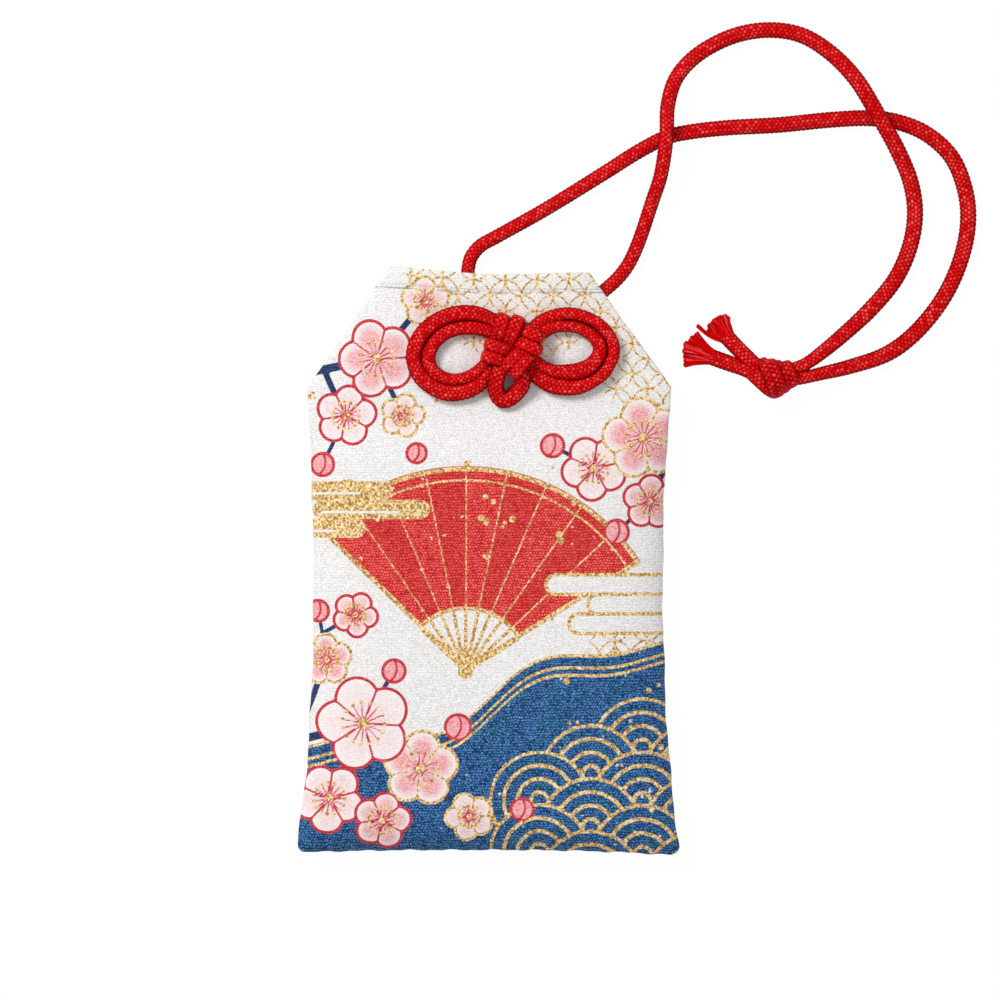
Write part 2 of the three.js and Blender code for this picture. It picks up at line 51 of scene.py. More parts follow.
POUCH_BODY = "pouch"
WHITE = (1.0, 1.0, 1.0, 1.0)
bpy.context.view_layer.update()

Point = tuple[float, float, float]
Flat = tuple[float, float]
Array = np.ndarray
Piece = bpy.types.Object
Material = bpy.types.Material


# Node trees


@dataclass(frozen=True)
class Signal:
    """One output of a node, which takes part in Python expressions."""

    graph: "Graph"
    socket: bpy.types.NodeSocket

    def out(self, name: str) -> "Signal":
        """Another output of the same node."""
        found = [s for s in self.socket.node.outputs if s.name == name and s.enabled]
        return Signal(self.graph, found[0])

    def math(self, operation: str, *others: Any) -> "Signal":
        """A Math node of this value and others."""
        values = dict(enumerate((self, *others)))
        return self.graph.node("ShaderNodeMath", {"operation": operation}, values)

    def vector(self, operation: str, *others: Any) -> "Signal":
        """A Vector Math node of this vector and others."""
        values = dict(enumerate((self, *others)))
        return self.graph.node("ShaderNodeVectorMath", {"operation": operation}, values)

    def is_vector(self) -> bool:
        """True for a vector or a colour."""
        return self.socket.type in ("VECTOR", "RGBA")

    def combine(self, operation: str, first: Any, second: Any) -> "Signal":
        """Joins two operands, signals or numbers, by Math or Vector Math as their kinds need."""
        vectors = [isinstance(v, Signal) and v.is_vector() for v in (first, second)]
        if not any(vectors):
            return self.graph.node("ShaderNodeMath", {"operation": operation}, {0: first, 1: second})
        if operation == "MULTIPLY" and not all(vectors):
            vector, scale = (first, second) if vectors[0] else (second, first)
            settings = {"operation": "SCALE"}
            return self.graph.node("ShaderNodeVectorMath", settings, {0: vector, "Scale": scale})
        return self.graph.node("ShaderNodeVectorMath", {"operation": operation}, {0: first, 1: second})

    def __add__(self, other: Any) -> "Signal":
        """Sum."""
        return self.combine("ADD", self, other)

    __radd__ = __add__

    def __sub__(self, other: Any) -> "Signal":
        """Difference."""
        return self.combine("SUBTRACT", self, other)

    def __rsub__(self, other: Any) -> "Signal":
        """Difference from a number."""
        return self.combine("SUBTRACT", other, self)

    def __mul__(self, other: Any) -> "Signal":
        """Product."""
        return self.combine("MULTIPLY", self, other)

    __rmul__ = __mul__

    def __truediv__(self, other: Any) -> "Signal":
        """Quotient."""
        return self.combine("DIVIDE", self, other)

    def __gt__(self, other: Any) -> "Signal":
        """One where this value is greater, and else zero."""
        return self.math("GREATER_THAN", other)


class Graph:
    """A node tree under construction, for shading or for geometry."""

    def __init__(self, tree: bpy.types.NodeTree) -> None:
        """Starts on a tree that new nodes go into."""
        self.tree = tree

    def node(self, kind: str, settings: dict[str, Any] | None = None,
             inputs: dict[Any, Any] | None = None) -> Signal:
        """Adds one node.

        Args:
            kind: Node type.
            settings: Properties, set first.
            inputs: Values or signals by socket name or number.

        Returns:
            The node's first output in use.
        """
        made = self.tree.nodes.new(kind)
        for name, value in (settings or {}).items():
            setattr(made, name, value)
        for key, value in (inputs or {}).items():
            socket = made.inputs[key] if isinstance(key, int) else self.named(made, key)
            if isinstance(value, Signal):
                self.tree.links.new(value.socket, socket)
            else:
                socket.default_value = value
        outputs = [s for s in made.outputs if s.enabled]
        return Signal(self, outputs[0]) if outputs else Signal(self, made.inputs[0])

    def xyz(self, x: Any, y: Any, z: Any) -> Signal:
        """A vector of three numbers or signals."""
        return self.node("ShaderNodeCombineXYZ", None, {"X": x, "Y": y, "Z": z})

    @staticmethod
    def named(made: bpy.types.Node, name: str) -> bpy.types.NodeSocket:
        """The input of that name that the node's settings use."""
        return next(s for s in made.inputs if s.name == name and s.enabled)


def linear(red: int, green: int, blue: int) -> tuple[float, float, float, float]:
    """A display colour of 0 to 255 as the linear colour that shaders take."""
    shares = (c / 255 for c in (red, green, blue))
    rgb = [s / 12.92 if s <= 0.04045 else ((s + 0.055) / 1.055) ** 2.4 for s in shares]
    return (*rgb, 1.0)


class Shader(Graph):
    """A material under construction, around one Principled shader."""

    def __init__(self, name: str) -> None:
        """Starts a material of that name."""
        self.material = bpy.data.materials.new(name)
        self.material.use_nodes = True
        super().__init__(self.material.node_tree)
        self.tree.nodes.clear()
        self.end = self.tree.nodes.new("ShaderNodeOutputMaterial")
        self.place = self.node("ShaderNodeTexCoord").out("Object")

    def attribute(self, name: str) -> Signal:
        """A number that the mesh carries under that name."""
        return self.node("ShaderNodeAttribute", {"attribute_name": name}).out("Fac")

    def mix(self, factor: Any, first: Any, second: Any) -> Signal:
        """A colour between two, by a factor from 0 to 1."""
        settings = {"data_type": "RGBA"}
        return self.node("ShaderNodeMix", settings, {"Factor": factor, "A": first, "B": second})

    def step(self, value: Any, low: Any, high: Any) -> Signal:
        """A smooth climb from 0 at low to 1 at high."""
        settings = {"interpolation_type": "SMOOTHSTEP"}
        values = {"Value": value, "From Min": low, "From Max": high}
        return self.node("ShaderNodeMapRange", settings, values)

    def noise(self, vector: Signal, scale: float, detail: float = 2.0) -> Signal:
        """Fractal noise from 0 to 1."""
        values = {"Vector": vector, "Scale": scale, "Detail": detail}
        return self.node("ShaderNodeTexNoise", None, values)

    def bump(self, height: Signal, distance: float, strength: float = 1.0) -> Signal:
        """A normal that follows a height."""
        values = {"Height": height, "Distance": distance, "Strength": strength}
        return self.node("ShaderNodeBump", None, values)

    def surface(self, **inputs: Any) -> Material:
        """Ends the material in a Principled shader, of sockets named with _ for spaces."""
        values = {name.replace("_", " "): value for name, value in inputs.items()}
        shaded = self.node("ShaderNodeBsdfPrincipled", None, values)
        self.tree.links.new(shaded.socket, self.end.inputs["Surface"])
        return self.material


class Socket(Enum):
    """Kinds of named input on a geometry tree."""

    LENGTH = "NodeSocketFloat"
    COUNT = "NodeSocketInt"
    FLAG = "NodeSocketBool"
    VECTOR = "NodeSocketVector"
    MATERIAL = "NodeSocketMaterial"


class Maker(Graph):
    """A geometry tree with named inputs, which turns a curve object into a plain mesh."""

    def __init__(self, name: str, inputs: dict[str, Socket]) -> None:
        """Starts a tree of that name, with inputs after the geometry by name and kind."""
        super().__init__(bpy.data.node_groups.new(name, "GeometryNodeTree"))
        face = self.tree.interface
        face.new_socket("Geometry", in_out="INPUT", socket_type="NodeSocketGeometry")
        face.new_socket("Geometry", in_out="OUTPUT", socket_type="NodeSocketGeometry")
        made = [face.new_socket(n, in_out="INPUT", socket_type=k.value) for n, k in inputs.items()]
        self.identifiers = {socket.name: socket.identifier for socket in made}
        self.entry = self.node("NodeGroupInput")

    def given(self, name: str) -> Signal:
        """A named input of the tree."""
        return self.entry.out(name)

    def store(self, geometry: Signal, kind: str = "FLOAT", **values: Any) -> Signal:
        """Keeps values of one kind on the points, under their names."""
        settings = {"data_type": kind, "domain": "POINT"}
        for name, value in values.items():
            inputs = {"Geometry": geometry, "Name": name, "Value": value}
            geometry = self.node("GeometryNodeStoreNamedAttribute", settings, inputs)
        return geometry

    def sweep(self, curve: Signal, thick: Signal, wide: Signal, share: Any = 1.0) -> Signal:
        """Sweeps an oval section along a curve."""
        values = {"Resolution": self.given("Sides"), "Radius": 0.5}
        ring = self.node("GeometryNodeCurvePrimitiveCircle", None, values)
        values = {"Geometry": ring, "Scale": self.xyz(thick, wide, 1.0)}
        oval = self.node("GeometryNodeTransform", None, values)
        values = {"Curve": curve, "Profile Curve": oval, "Scale": share, "Fill Caps": True}
        return self.node("GeometryNodeCurveToMesh", None, values)

    def end(self, geometry: Signal) -> None:
        """Ends the tree: instances made real, shaded smooth, with the material."""
        real = self.node("GeometryNodeRealizeInstances", None, {"Geometry": geometry})
        smooth = self.node("GeometryNodeSetShadeSmooth", None, {"Geometry": real})
        values = {"Geometry": smooth, "Material": self.given("Material")}
        dressed = self.node("GeometryNodeSetMaterial", None, values)
        self.node("NodeGroupOutput", None, {"Geometry": dressed})

    def mesh(self, name: str, paths: Sequence[Array], values: dict[str, Any]) -> Piece:
        """Runs the tree on curves.

        Args:
            name: Name of the new piece.
            paths: Points of each curve, in millimetres, with a fourth value for their radius or none.
            values: The tree's inputs by name.

        Returns:
            A mesh object at the origin, with no modifier left.
        """
        curve = bpy.data.curves.new(name + "_path", "CURVE")
        curve.dimensions = "3D"
        for path in paths:
            spline = curve.splines.new("POLY")
            spline.points.add(len(path) - 1)
            spline.points.foreach_set("co", np.c_[path[:, :3] * MM, np.ones(len(path))].ravel())
            if path.shape[1] > 3:
                spline.points.foreach_set("radius", path[:, 3])
        carrier = link(name + "_path", curve)
        modifier = carrier.modifiers.new("make", "NODES")
        modifier.node_group = self.tree
        for key, value in values.items():
            modifier[self.identifiers[key]] = value
        done = carrier.evaluated_get(bpy.context.evaluated_depsgraph_get())
        mesh = bpy.data.meshes.new_from_object(done)
        mesh.name = name
        LOG.info("%s: %d faces", name, len(mesh.polygons))
        carrier.modifiers.remove(modifier)
        bpy.data.objects.remove(carrier)
        bpy.data.curves.remove(curve)
        return link(name, mesh)


def link(name: str, data: bpy.types.ID, *materials: Material) -> Piece:
    """Puts data into the scene as an object at the origin, a mesh with its materials."""
    made = bpy.data.objects.new(name, data)
    bpy.context.scene.collection.objects.link(made)
    for material in materials:
        data.materials.append(material)
    LOG.debug("%s linked", name)
    return made


def dress(piece: Piece, slot: str, *nodes: str) -> Piece:
    """Lets a piece ride on the pouch and hides the CAD nodes that it stands for."""
    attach(piece, POUCH_BODY)
    if nodes:
        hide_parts(*nodes)
    return piece


# Routes


def smooth_route(points: Sequence[Sequence[float]], step: float) -> Array:
    """A centripetal Catmull-Rom curve through points.

    Args:
        points: The points that it passes through.
        step: Distance between the points that come back.

    Returns:
        Evenly spaced points along the curve.
    """
    given = np.array(points, float)
    given = np.vstack([2 * given[0] - given[1], given, 2 * given[-1] - given[-2]])
    share = np.linspace(0, 1, 40, endpoint=False)[:, None]
    spans = []
    for a, b, c, d in zip(given, given[1:], given[2:], given[3:]):
        before, here, after = (math.sqrt(np.linalg.norm(q - p)) for p, q in ((a, b), (b, c), (c, d)))
        leave = here * ((b - a) / before - (c - a) / (before + here) + (c - b) / here)
        arrive = here * ((c - b) / here - (d - b) / (here + after) + (d - c) / after)
        bend = 2 * b - 2 * c + leave + arrive
        turn = -3 * b + 3 * c - 2 * leave - arrive
        spans.append(b + share * (leave + share * (turn + share * bend)))
    return even_steps(np.vstack([*spans, given[-2:-1]]), step)


def route_length(route: Array) -> float:
    """Length along a route's points."""
    return float(np.linalg.norm(np.diff(route, axis=0), axis=1).sum())


def even_steps(route: Array, step: float) -> Array:
    """The same route with points at even distances of about step."""
    travelled = np.r_[0, np.cumsum(np.linalg.norm(np.diff(route, axis=0), axis=1))]
    stations = np.linspace(0, travelled[-1], max(3, round(travelled[-1] / step) + 1))
    return np.column_stack([np.interp(stations, travelled, axis) for axis in route.T])


# Studio


@dataclass
class Studio:
    """Camera, pale floor and soft light, as in the flat-lay photograph."""

    frame_width: float = 133.33
    aim: Point = (1.667, 8.267, 5.0)
    lens: float = 300.0
    sensor: float = 36.0
    floor_size: float = 6000.0
    sky: float = 0.437
    key_power: float = 4.8
    key_size: float = 260.0
    key_place: Point = (-420.0, 420.0, 620.0)
    fill_power: float = 0.84
    fill_place: Point = (480.0, -300.0, 520.0)
    clip: Flat = (0.01, 20.0)
    floor_tone: tuple = (0.86, 0.86, 0.86, 1.0)
    floor_glow: float = 1.02
    floor_white: float = 0.94

    def build(self) -> None:
        """Makes the camera, the lights, the world and the floor."""
        scene = bpy.context.scene
        scene.view_settings.view_transform = "Standard"
        self.add_camera(scene)
        self.add_light("key", self.key_place, self.key_power)
        self.add_light("fill", self.fill_place, self.fill_power)
        self.add_world(scene)
        self.add_floor()

    def add_camera(self, scene: bpy.types.Scene) -> None:
        """Sets the camera straight above the charm."""
        data = bpy.data.cameras.new("camera")
        data.lens = self.lens
        data.sensor_width = self.sensor
        camera = link("camera", data)
        height = self.aim[2] + self.frame_width * self.lens / self.sensor
        camera.location = (self.aim[0] * MM, self.aim[1] * MM, height * MM)
        data.clip_start, data.clip_end = self.clip
        scene.camera = camera

    def add_light(self, name: str, place: Point, power: float) -> None:
        """Adds a square soft light that faces the charm."""
        data = bpy.data.lights.new(name, "AREA")
        data.energy = power
        data.size = self.key_size * MM
        light = link(name, data)
        light.location = [p * MM for p in place]
        towards = np.array(self.aim) - np.array(place)
        level = math.hypot(towards[0], towards[1])
        light.rotation_euler = (math.atan2(level, -towards[2]), 0, math.atan2(-towards[0], towards[1]))

    def add_world(self, scene: bpy.types.Scene) -> None:
        """Even light from all round, white where the camera sees it."""
        world = bpy.data.worlds.new("world")
        world.use_nodes = True
        graph = Graph(world.node_tree)
        world.node_tree.nodes.clear()
        path = graph.node("ShaderNodeLightPath")
        strength = self.sky + path * (1 - self.sky)
        lit = graph.node("ShaderNodeBackground", None, {"Color": WHITE, "Strength": strength})
        graph.node("ShaderNodeOutputWorld", None, {"Surface": lit})
        scene.world = world

    def add_floor(self) -> None:
        """A pale floor that keeps a light shadow and shows nothing from below."""
        half = self.floor_size / 2 * MM
        mesh = bpy.data.meshes.new("floor")
        corners = [(-half, -half, 0), (half, -half, 0), (half, half, 0), (-half, half, 0)]
        mesh.from_pydata(corners, [], [(0, 1, 2, 3)])
        link("floor", mesh)
        shader = Shader("pale_floor")
        seen = shader.node("ShaderNodeLightPath")
        matte = shader.node("ShaderNodeBsdfDiffuse", None, {"Color": self.floor_tone})
        white = shader.node("ShaderNodeEmission", None, {"Color": WHITE, "Strength": self.floor_glow})
        lit = shader.node("ShaderNodeMixShader", None, {0: seen * self.floor_white, 1: matte, 2: white})
        clear = shader.node("ShaderNodeBsdfTransparent")
        under = shader.node("ShaderNodeNewGeometry").out("Backfacing")
        both = shader.node("ShaderNodeMixShader", None, {0: under, 1: lit, 2: clear})
        shader.tree.links.new(both.socket, shader.end.inputs["Surface"])
        mesh.materials.append(shader.material)


# Cord


@dataclass(frozen=True)
class CordFinish:
    """Glossy red polyester yarn, with painted shade where it dives under, on its flanks and in its
    core, and painted highlights on its crowns.
    """

    # The darkest tone is painted shade and the lightest is a painted highlight.
    deep: tuple = linear(58, 0, 0)
    red: tuple = linear(213, 0, 6)
    painted_highlight: tuple = linear(255, 108, 104)
    roughness: float = 0.34
    roughness_spread: float = 0.15
    streaks_along: float = 260.0
    streaks_between: float = 3.7
    streak_share: float = 1.5
    red_range: Flat = (-0.8, 0.55)
    highlight_range: Flat = (0.67, 1.27)
    fibre_scale: float = 5200.0
    fibre_depth: float = 0.00002
    fibre_strength: float = 0.6
    gloss: float = 0.06
    gloss_tint: tuple = (1.0, 0.72, 0.7, 1.0)

    def material(self) -> Material:
        """Builds the finish on the yarns' own attributes."""
        shader = Shader("red_cord")
        along = shader.attribute("along") * self.streaks_along
        yarn = shader.attribute("yarn") * self.streaks_between
        streak = shader.noise(shader.xyz(along, yarn, 0.0), 1.0)
        fibre = shader.noise(shader.place, self.fibre_scale, 1.0)
        # Painted light and shade: each point's crown value, shifted by random streaks, picks painted
        # shade, the red or a painted highlight.
        lift = shader.attribute("crown") + (streak - 0.5) * self.streak_share
        tone = shader.mix(shader.step(lift, *self.red_range), self.deep, self.red)
        tone = shader.mix(shader.step(lift, *self.highlight_range), tone, self.painted_highlight)
        return shader.surface(
            Base_Color=tone,
            Roughness=self.roughness + fibre * self.roughness_spread,
            Specular_IOR_Level=self.gloss,
            Specular_Tint=self.gloss_tint,
            Normal=shader.bump(fibre, self.fibre_depth, self.fibre_strength),
        )


@dataclass
class Braid:
    """Round braid of yarns that wind both ways and pass over and under each other by twos."""

    diameter: float = 1.95
    fullness: float = 1.06
    yarns: int = 14
    lay: float = 8.4
    yarn_width: float = 0.4
    yarn_thickness: float = 0.26
    wave: float = 0.06
    step: float = 0.22
    sides: int = 5
    core_depth: float = 1.5
    # Crown value of the core, which the finish shows as painted shade.
    core_shade: float = -0.35
    flank_start: float = 0.6
    flank_shade: float = 2.8
    material: Material | None = None
    maker: Maker | None = None

    def __post_init__(self) -> None:
        """Builds the finish and the geometry tree once."""
        self.material = CordFinish().material()
        lengths = ("Half Width", "Half Height", "Lay", "Yarn Width", "Yarn Thickness", "Wave", "Step",
                   "Roundness")
        inputs = {name: Socket.LENGTH for name in lengths}
        inputs |= {"Yarns": Socket.COUNT, "Sides": Socket.COUNT, "Fixed Side": Socket.FLAG}
        inputs |= {"Side": Socket.VECTOR, "Material": Socket.MATERIAL}
        self.maker = Maker("braid", inputs)
        path = self.levelled()
        both = self.maker.node("GeometryNodeJoinGeometry", None, {"Geometry": self.core(path)})
        self.maker.tree.links.new(self.wound(path).socket, both.socket.node.inputs[0])
        self.maker.end(both)

    def levelled(self) -> Signal:
        """The path in even steps, with its normals level or along the fixed side."""
        make, given = self.maker, self.maker.given
        values = {"Curve": given("Geometry"), "Length": given("Step")}
        even = make.node("GeometryNodeResampleCurve", {"mode": "LENGTH"}, values)
        level = make.node("GeometryNodeSetCurveNormal", {"mode": "Z_UP"}, {"Curve": even})
        values = {"Curve": even, "Normal": given("Side")}
        fixed = make.node("GeometryNodeSetCurveNormal", {"mode": "FREE"}, values)
        choice = {"Switch": given("Fixed Side"), "False": level, "True": fixed}
        return make.node("GeometryNodeSwitch", {"input_type": "GEOMETRY"}, choice)

    def core(self, path: Signal) -> Signal:
        """A core in painted shade that closes the gaps between the yarns."""
        make, given = self.maker, self.maker.given
        hollow = given("Yarn Thickness") * self.core_depth
        wide, high = (given(name) * 2.0 - hollow for name in ("Half Width", "Half Height"))
        marked = make.store(path, crown=self.core_shade)
        return make.sweep(marked, wide, high, make.node("GeometryNodeInputRadius"))

    def wound(self, path: Signal) -> Signal:
        """Copies of the path, wound round it both ways and swept into yarns."""
        make, given = self.maker, self.maker.given
        values = {"Geometry": path, "Amount": given("Yarns") * 2.0}
        copies = make.node("GeometryNodeDuplicateElements", {"domain": "SPLINE"}, values)
        index = copies.out("Duplicate Index")
        along = make.node("GeometryNodeSplineParameter").out("Length")
        hand = 1.0 - 2.0 * (index > given("Yarns") - 0.5)
        number = index.math("MODULO", given("Yarns"))
        turns = hand * along / given("Lay")
        angle = math.tau * (turns + number / given("Yarns"))
        passing = turns * given("Yarns") * 2.0 + number * 2.0 - 0.5
        crown = hand * (passing * (math.pi / 2)).math("COSINE")
        side = make.node("GeometryNodeInputNormal")
        upward = make.node("GeometryNodeInputTangent").vector("CROSS_PRODUCT", side)
        turned_side = side * self.rounded(angle.math("COSINE"))
        turned_up = upward * self.rounded(angle.math("SINE"))
        lift = 1.0 + given("Wave") * crown
        reach = 1.0 - given("Wave")
        girth = make.node("GeometryNodeInputRadius")
        wide = given("Half Width") * girth * reach - given("Yarn Thickness") / 2.0
        high = given("Half Height") * reach - given("Yarn Thickness") / 2.0
        offset = turned_side * (wide * lift) + turned_up * (high * lift)
        outward = turned_side * given("Half Height") + turned_up * given("Half Width")
        # Painted shade on the yarns along the cord's flanks, where its sides turn from the light.
        flank = angle.math("COSINE").math("POWER", 2.0) - self.flank_start
        shaded = crown - flank.math("MAXIMUM", 0.0) * self.flank_shade
        marked = make.store(copies, "FLOAT_VECTOR", outward=outward.vector("NORMALIZE"))
        # crown holds the over and under of the yarns less the painted flank shade; the finish paints
        # light and shade from it.
        marked = make.store(marked, along=along, yarn=index, crown=shaded)
        moved = make.node("GeometryNodeSetPosition", None, {"Geometry": marked, "Offset": offset})
        settings = {"data_type": "FLOAT_VECTOR"}
        facing = make.node("GeometryNodeInputNamedAttribute", settings, {"Name": "outward"})
        values = {"Curve": moved, "Normal": facing}
        faced = make.node("GeometryNodeSetCurveNormal", {"mode": "FREE"}, values)
        return make.sweep(faced, given("Yarn Thickness"), given("Yarn Width"))

    def rounded(self, share: Signal) -> Signal:
        """Moves a share of the section's half size outward, for flat straps with tight edges."""
        power = share.math("ABSOLUTE").math("POWER", self.maker.given("Roundness"))
        return share.math("SIGN") * power

    def lay_along(self, name: str, routes: Sequence[Array], flat: Flat = (1.0, 1.0),
                  side: Flat | None = None, roundness: float = 1.0) -> Piece:
        """Braids a cord along routes.

        Args:
            name: Name of the piece.
            routes: Centre lines, in millimetres, with a share of the width as a fourth value or none.
            flat: Shares of the diameter, across and up.
            side: Level direction across the routes, needed where they climb steeply.
            roundness: 1 for an oval section, less for a flatter strap.

        Returns:
            The cord as a plain mesh.
        """
        values = {
            "Half Width": self.diameter / 2 * self.fullness * flat[0] * MM,
            "Half Height": self.diameter / 2 * self.fullness * flat[1] * MM,
            "Lay": self.lay * MM,
            "Yarn Width": self.yarn_width / roundness * MM,
            "Yarn Thickness": self.yarn_thickness * MM,
            "Wave": self.wave,
            "Roundness": roundness,
            "Step": self.step * MM,
            "Yarns": self.yarns,
            "Sides": self.sides,
            "Fixed Side": side is not None,
            "Side": (*(side or (1.0, 0.0)), 0.0),
            "Material": self.material,
        }
        return self.maker.mesh(name, routes, values)


LOOSE_Z = 1.005
OVER_Z = 3.255
KNOTTED_Z = 2.4
MOUTH_Y = 38.7


def from_mouth(points: Sequence[Sequence[float]]) -> list[Point]:
    """Points given from the middle of the mouth; those with no height lie on the table."""
    return [(p[0], MOUTH_Y + p[1], p[2] if len(p) > 2 else LOOSE_Z) for p in points]


def with_girth(route: Array, shares: Sequence[Flat]) -> Array:
    """Adds the share of the width at each point, from (place, share) pairs, as a fourth value."""
    places, widths = zip(*shares)
    return np.column_stack([route, np.interp(np.linspace(0, 1, len(route)), places, widths)])


@dataclass(frozen=True)
class Strand:
    """One strand of the loop, measured from the middle of the mouth, and how its end is frayed."""

    node: str
    end_node: str
    points: tuple
    heading: float
    fan_length: float
    fan_width: float
    seed: int
    strays: tuple = ()


@dataclass
class Fringe:
    """A frayed cord end: silky filaments in clumps, fanned out flat."""

    clumps: int = 9
    filaments: int = 26
    thickness: float = 0.2
    sides: int = 5
    stations: int = 12
    base_radius: float = 0.94
    base_follow: float = 0.7
    base_spread: float = 0.4
    base_limit: float = 0.92
    base_rise: float = 0.9
    begin: Flat = (0.2, 0.7)
    clump_radius: float = 0.5
    clump_spread: float = 0.06
    side_shortening: float = 0.24
    reach_range: Flat = (0.94, 1.04)
    tip_dome: float = 0.9
    tip_spread: float = 0.06
    opening_power: float = 1.35
    swell: float = 0.12
    lift: float = 0.55
    # Levels of painted light and shade: painted light towards the top of each clump, painted shade
    # towards its sides, and a plainer level for stray filaments.
    tone: float = 0.6
    highlight_rise: float = 0.3
    side_shade: float = 0.5
    stray_tone: float = 0.4
    stray_step: float = 0.4
    stray_spread: float = 0.17
    maker: Maker | None = None

    def __post_init__(self) -> None:
        """Builds the tree that sweeps filaments; a path's fourth value is its level of painted light
        and shade.
        """
        inputs = {"Thickness": Socket.LENGTH, "Sides": Socket.COUNT, "Material": Socket.MATERIAL}
        make = self.maker = Maker("filament", inputs)
        settings = {"domain": "CURVE", "data_type": "FLOAT"}
        index = make.node("GeometryNodeInputIndex")
        number = make.node("GeometryNodeFieldOnDomain", settings, {"Value": index})
        along = make.node("GeometryNodeSplineParameter").out("Length")
        tone = make.node("GeometryNodeInputRadius")
        marked = make.store(make.given("Geometry"), along=along, crown=tone, yarn=number)
        make.end(make.sweep(marked, make.given("Thickness"), make.given("Thickness")))

    def build(self, strand: Strand, material: Material) -> Piece:
        """Frays the end of a strand.

        Args:
            strand: The strand, with the spread of its end.
            material: The cord's finish.

        Returns:
            The fringe as a plain mesh.
        """
        draw = np.random.default_rng(strand.seed)
        paths = []
        for clump in range(self.clumps):
            across = 2 * (clump + 0.5) / self.clumps - 1
            across += draw.uniform(-self.clump_spread, self.clump_spread)
            layer = draw.uniform(-1, 1)
            reach = strand.fan_length * (1 - self.side_shortening * across**2)
            reach *= draw.uniform(*self.reach_range)
            place = (across, layer, reach)
            paths += [self.filament(strand, draw, place) for _ in range(self.filaments)]
        for points in strand.strays:
            route = smooth_route(from_mouth(points), self.stray_step)
            shade = np.full((len(route), 1), self.stray_tone)
            for _ in range(self.filaments):
                moved = route + draw.uniform(-self.stray_spread, self.stray_spread, 3)
                paths.append(np.hstack([moved, shade]))
        values = {"Thickness": self.thickness * MM, "Sides": self.sides, "Material": material}
        return self.maker.mesh(strand.end_node + "_fringe", paths, values)

    def filament(self, strand: Strand, draw: np.random.Generator, clump: Point) -> Array:
        """Lays one filament from the cord's end to its tip in a clump.

        Args:
            strand: The strand that it comes from.
            draw: Source of chance.
            clump: The clump's place across the fan, its layer and its reach.

        Returns:
            The filament's points, each with its level of painted light and shade.
        """
        across, layer, reach = clump
        share = np.linspace(0, 1, self.stations)[:, None]
        angle = draw.uniform(0, math.tau)
        out = math.sqrt(draw.uniform(0, 1))
        side, rise = (self.clump_radius * out * turn for turn in (math.cos(angle), math.sin(angle)))
        dome = self.tip_dome * self.clump_radius * (1 - math.sqrt(1 - out**2))
        tip = reach - dome + draw.uniform(-self.tip_spread, self.tip_spread)
        follow = self.base_follow * across + draw.uniform(-self.base_spread, self.base_spread)
        start_side = self.base_radius * np.clip(follow, -self.base_limit, self.base_limit)
        half_height = math.sqrt(self.base_radius**2 - start_side**2)
        start_rise = half_height * draw.uniform(-self.base_rise, self.base_rise)
        opening = share**self.opening_power
        swell = np.sin(math.pi * share) * self.swell * draw.uniform(-1, 1)
        lateral = start_side + (across * strand.fan_width / 2 + side - start_side) * opening + swell
        height = start_rise + (layer * self.lift + rise - start_rise) * opening
        height = np.maximum(height, self.thickness - LOOSE_Z)
        begin = -draw.uniform(*self.begin)
        reached = begin + (tip - begin) * share
        cosine, sine = (turn(math.radians(strand.heading)) for turn in (math.cos, math.sin))
        x, y = cosine * reached - sine * lateral, sine * reached + cosine * lateral
        # Painted light towards the top of the clump, painted shade towards its sides.
        side_share = side / self.clump_radius
        tone = self.tone + self.highlight_rise * rise / self.clump_radius - self.side_shade * side_share**2
        route = np.array(from_mouth(strand.points[-1:])) + np.hstack([x, y, height])
        return np.column_stack([route, np.full(self.stations, max(0.0, tone))])


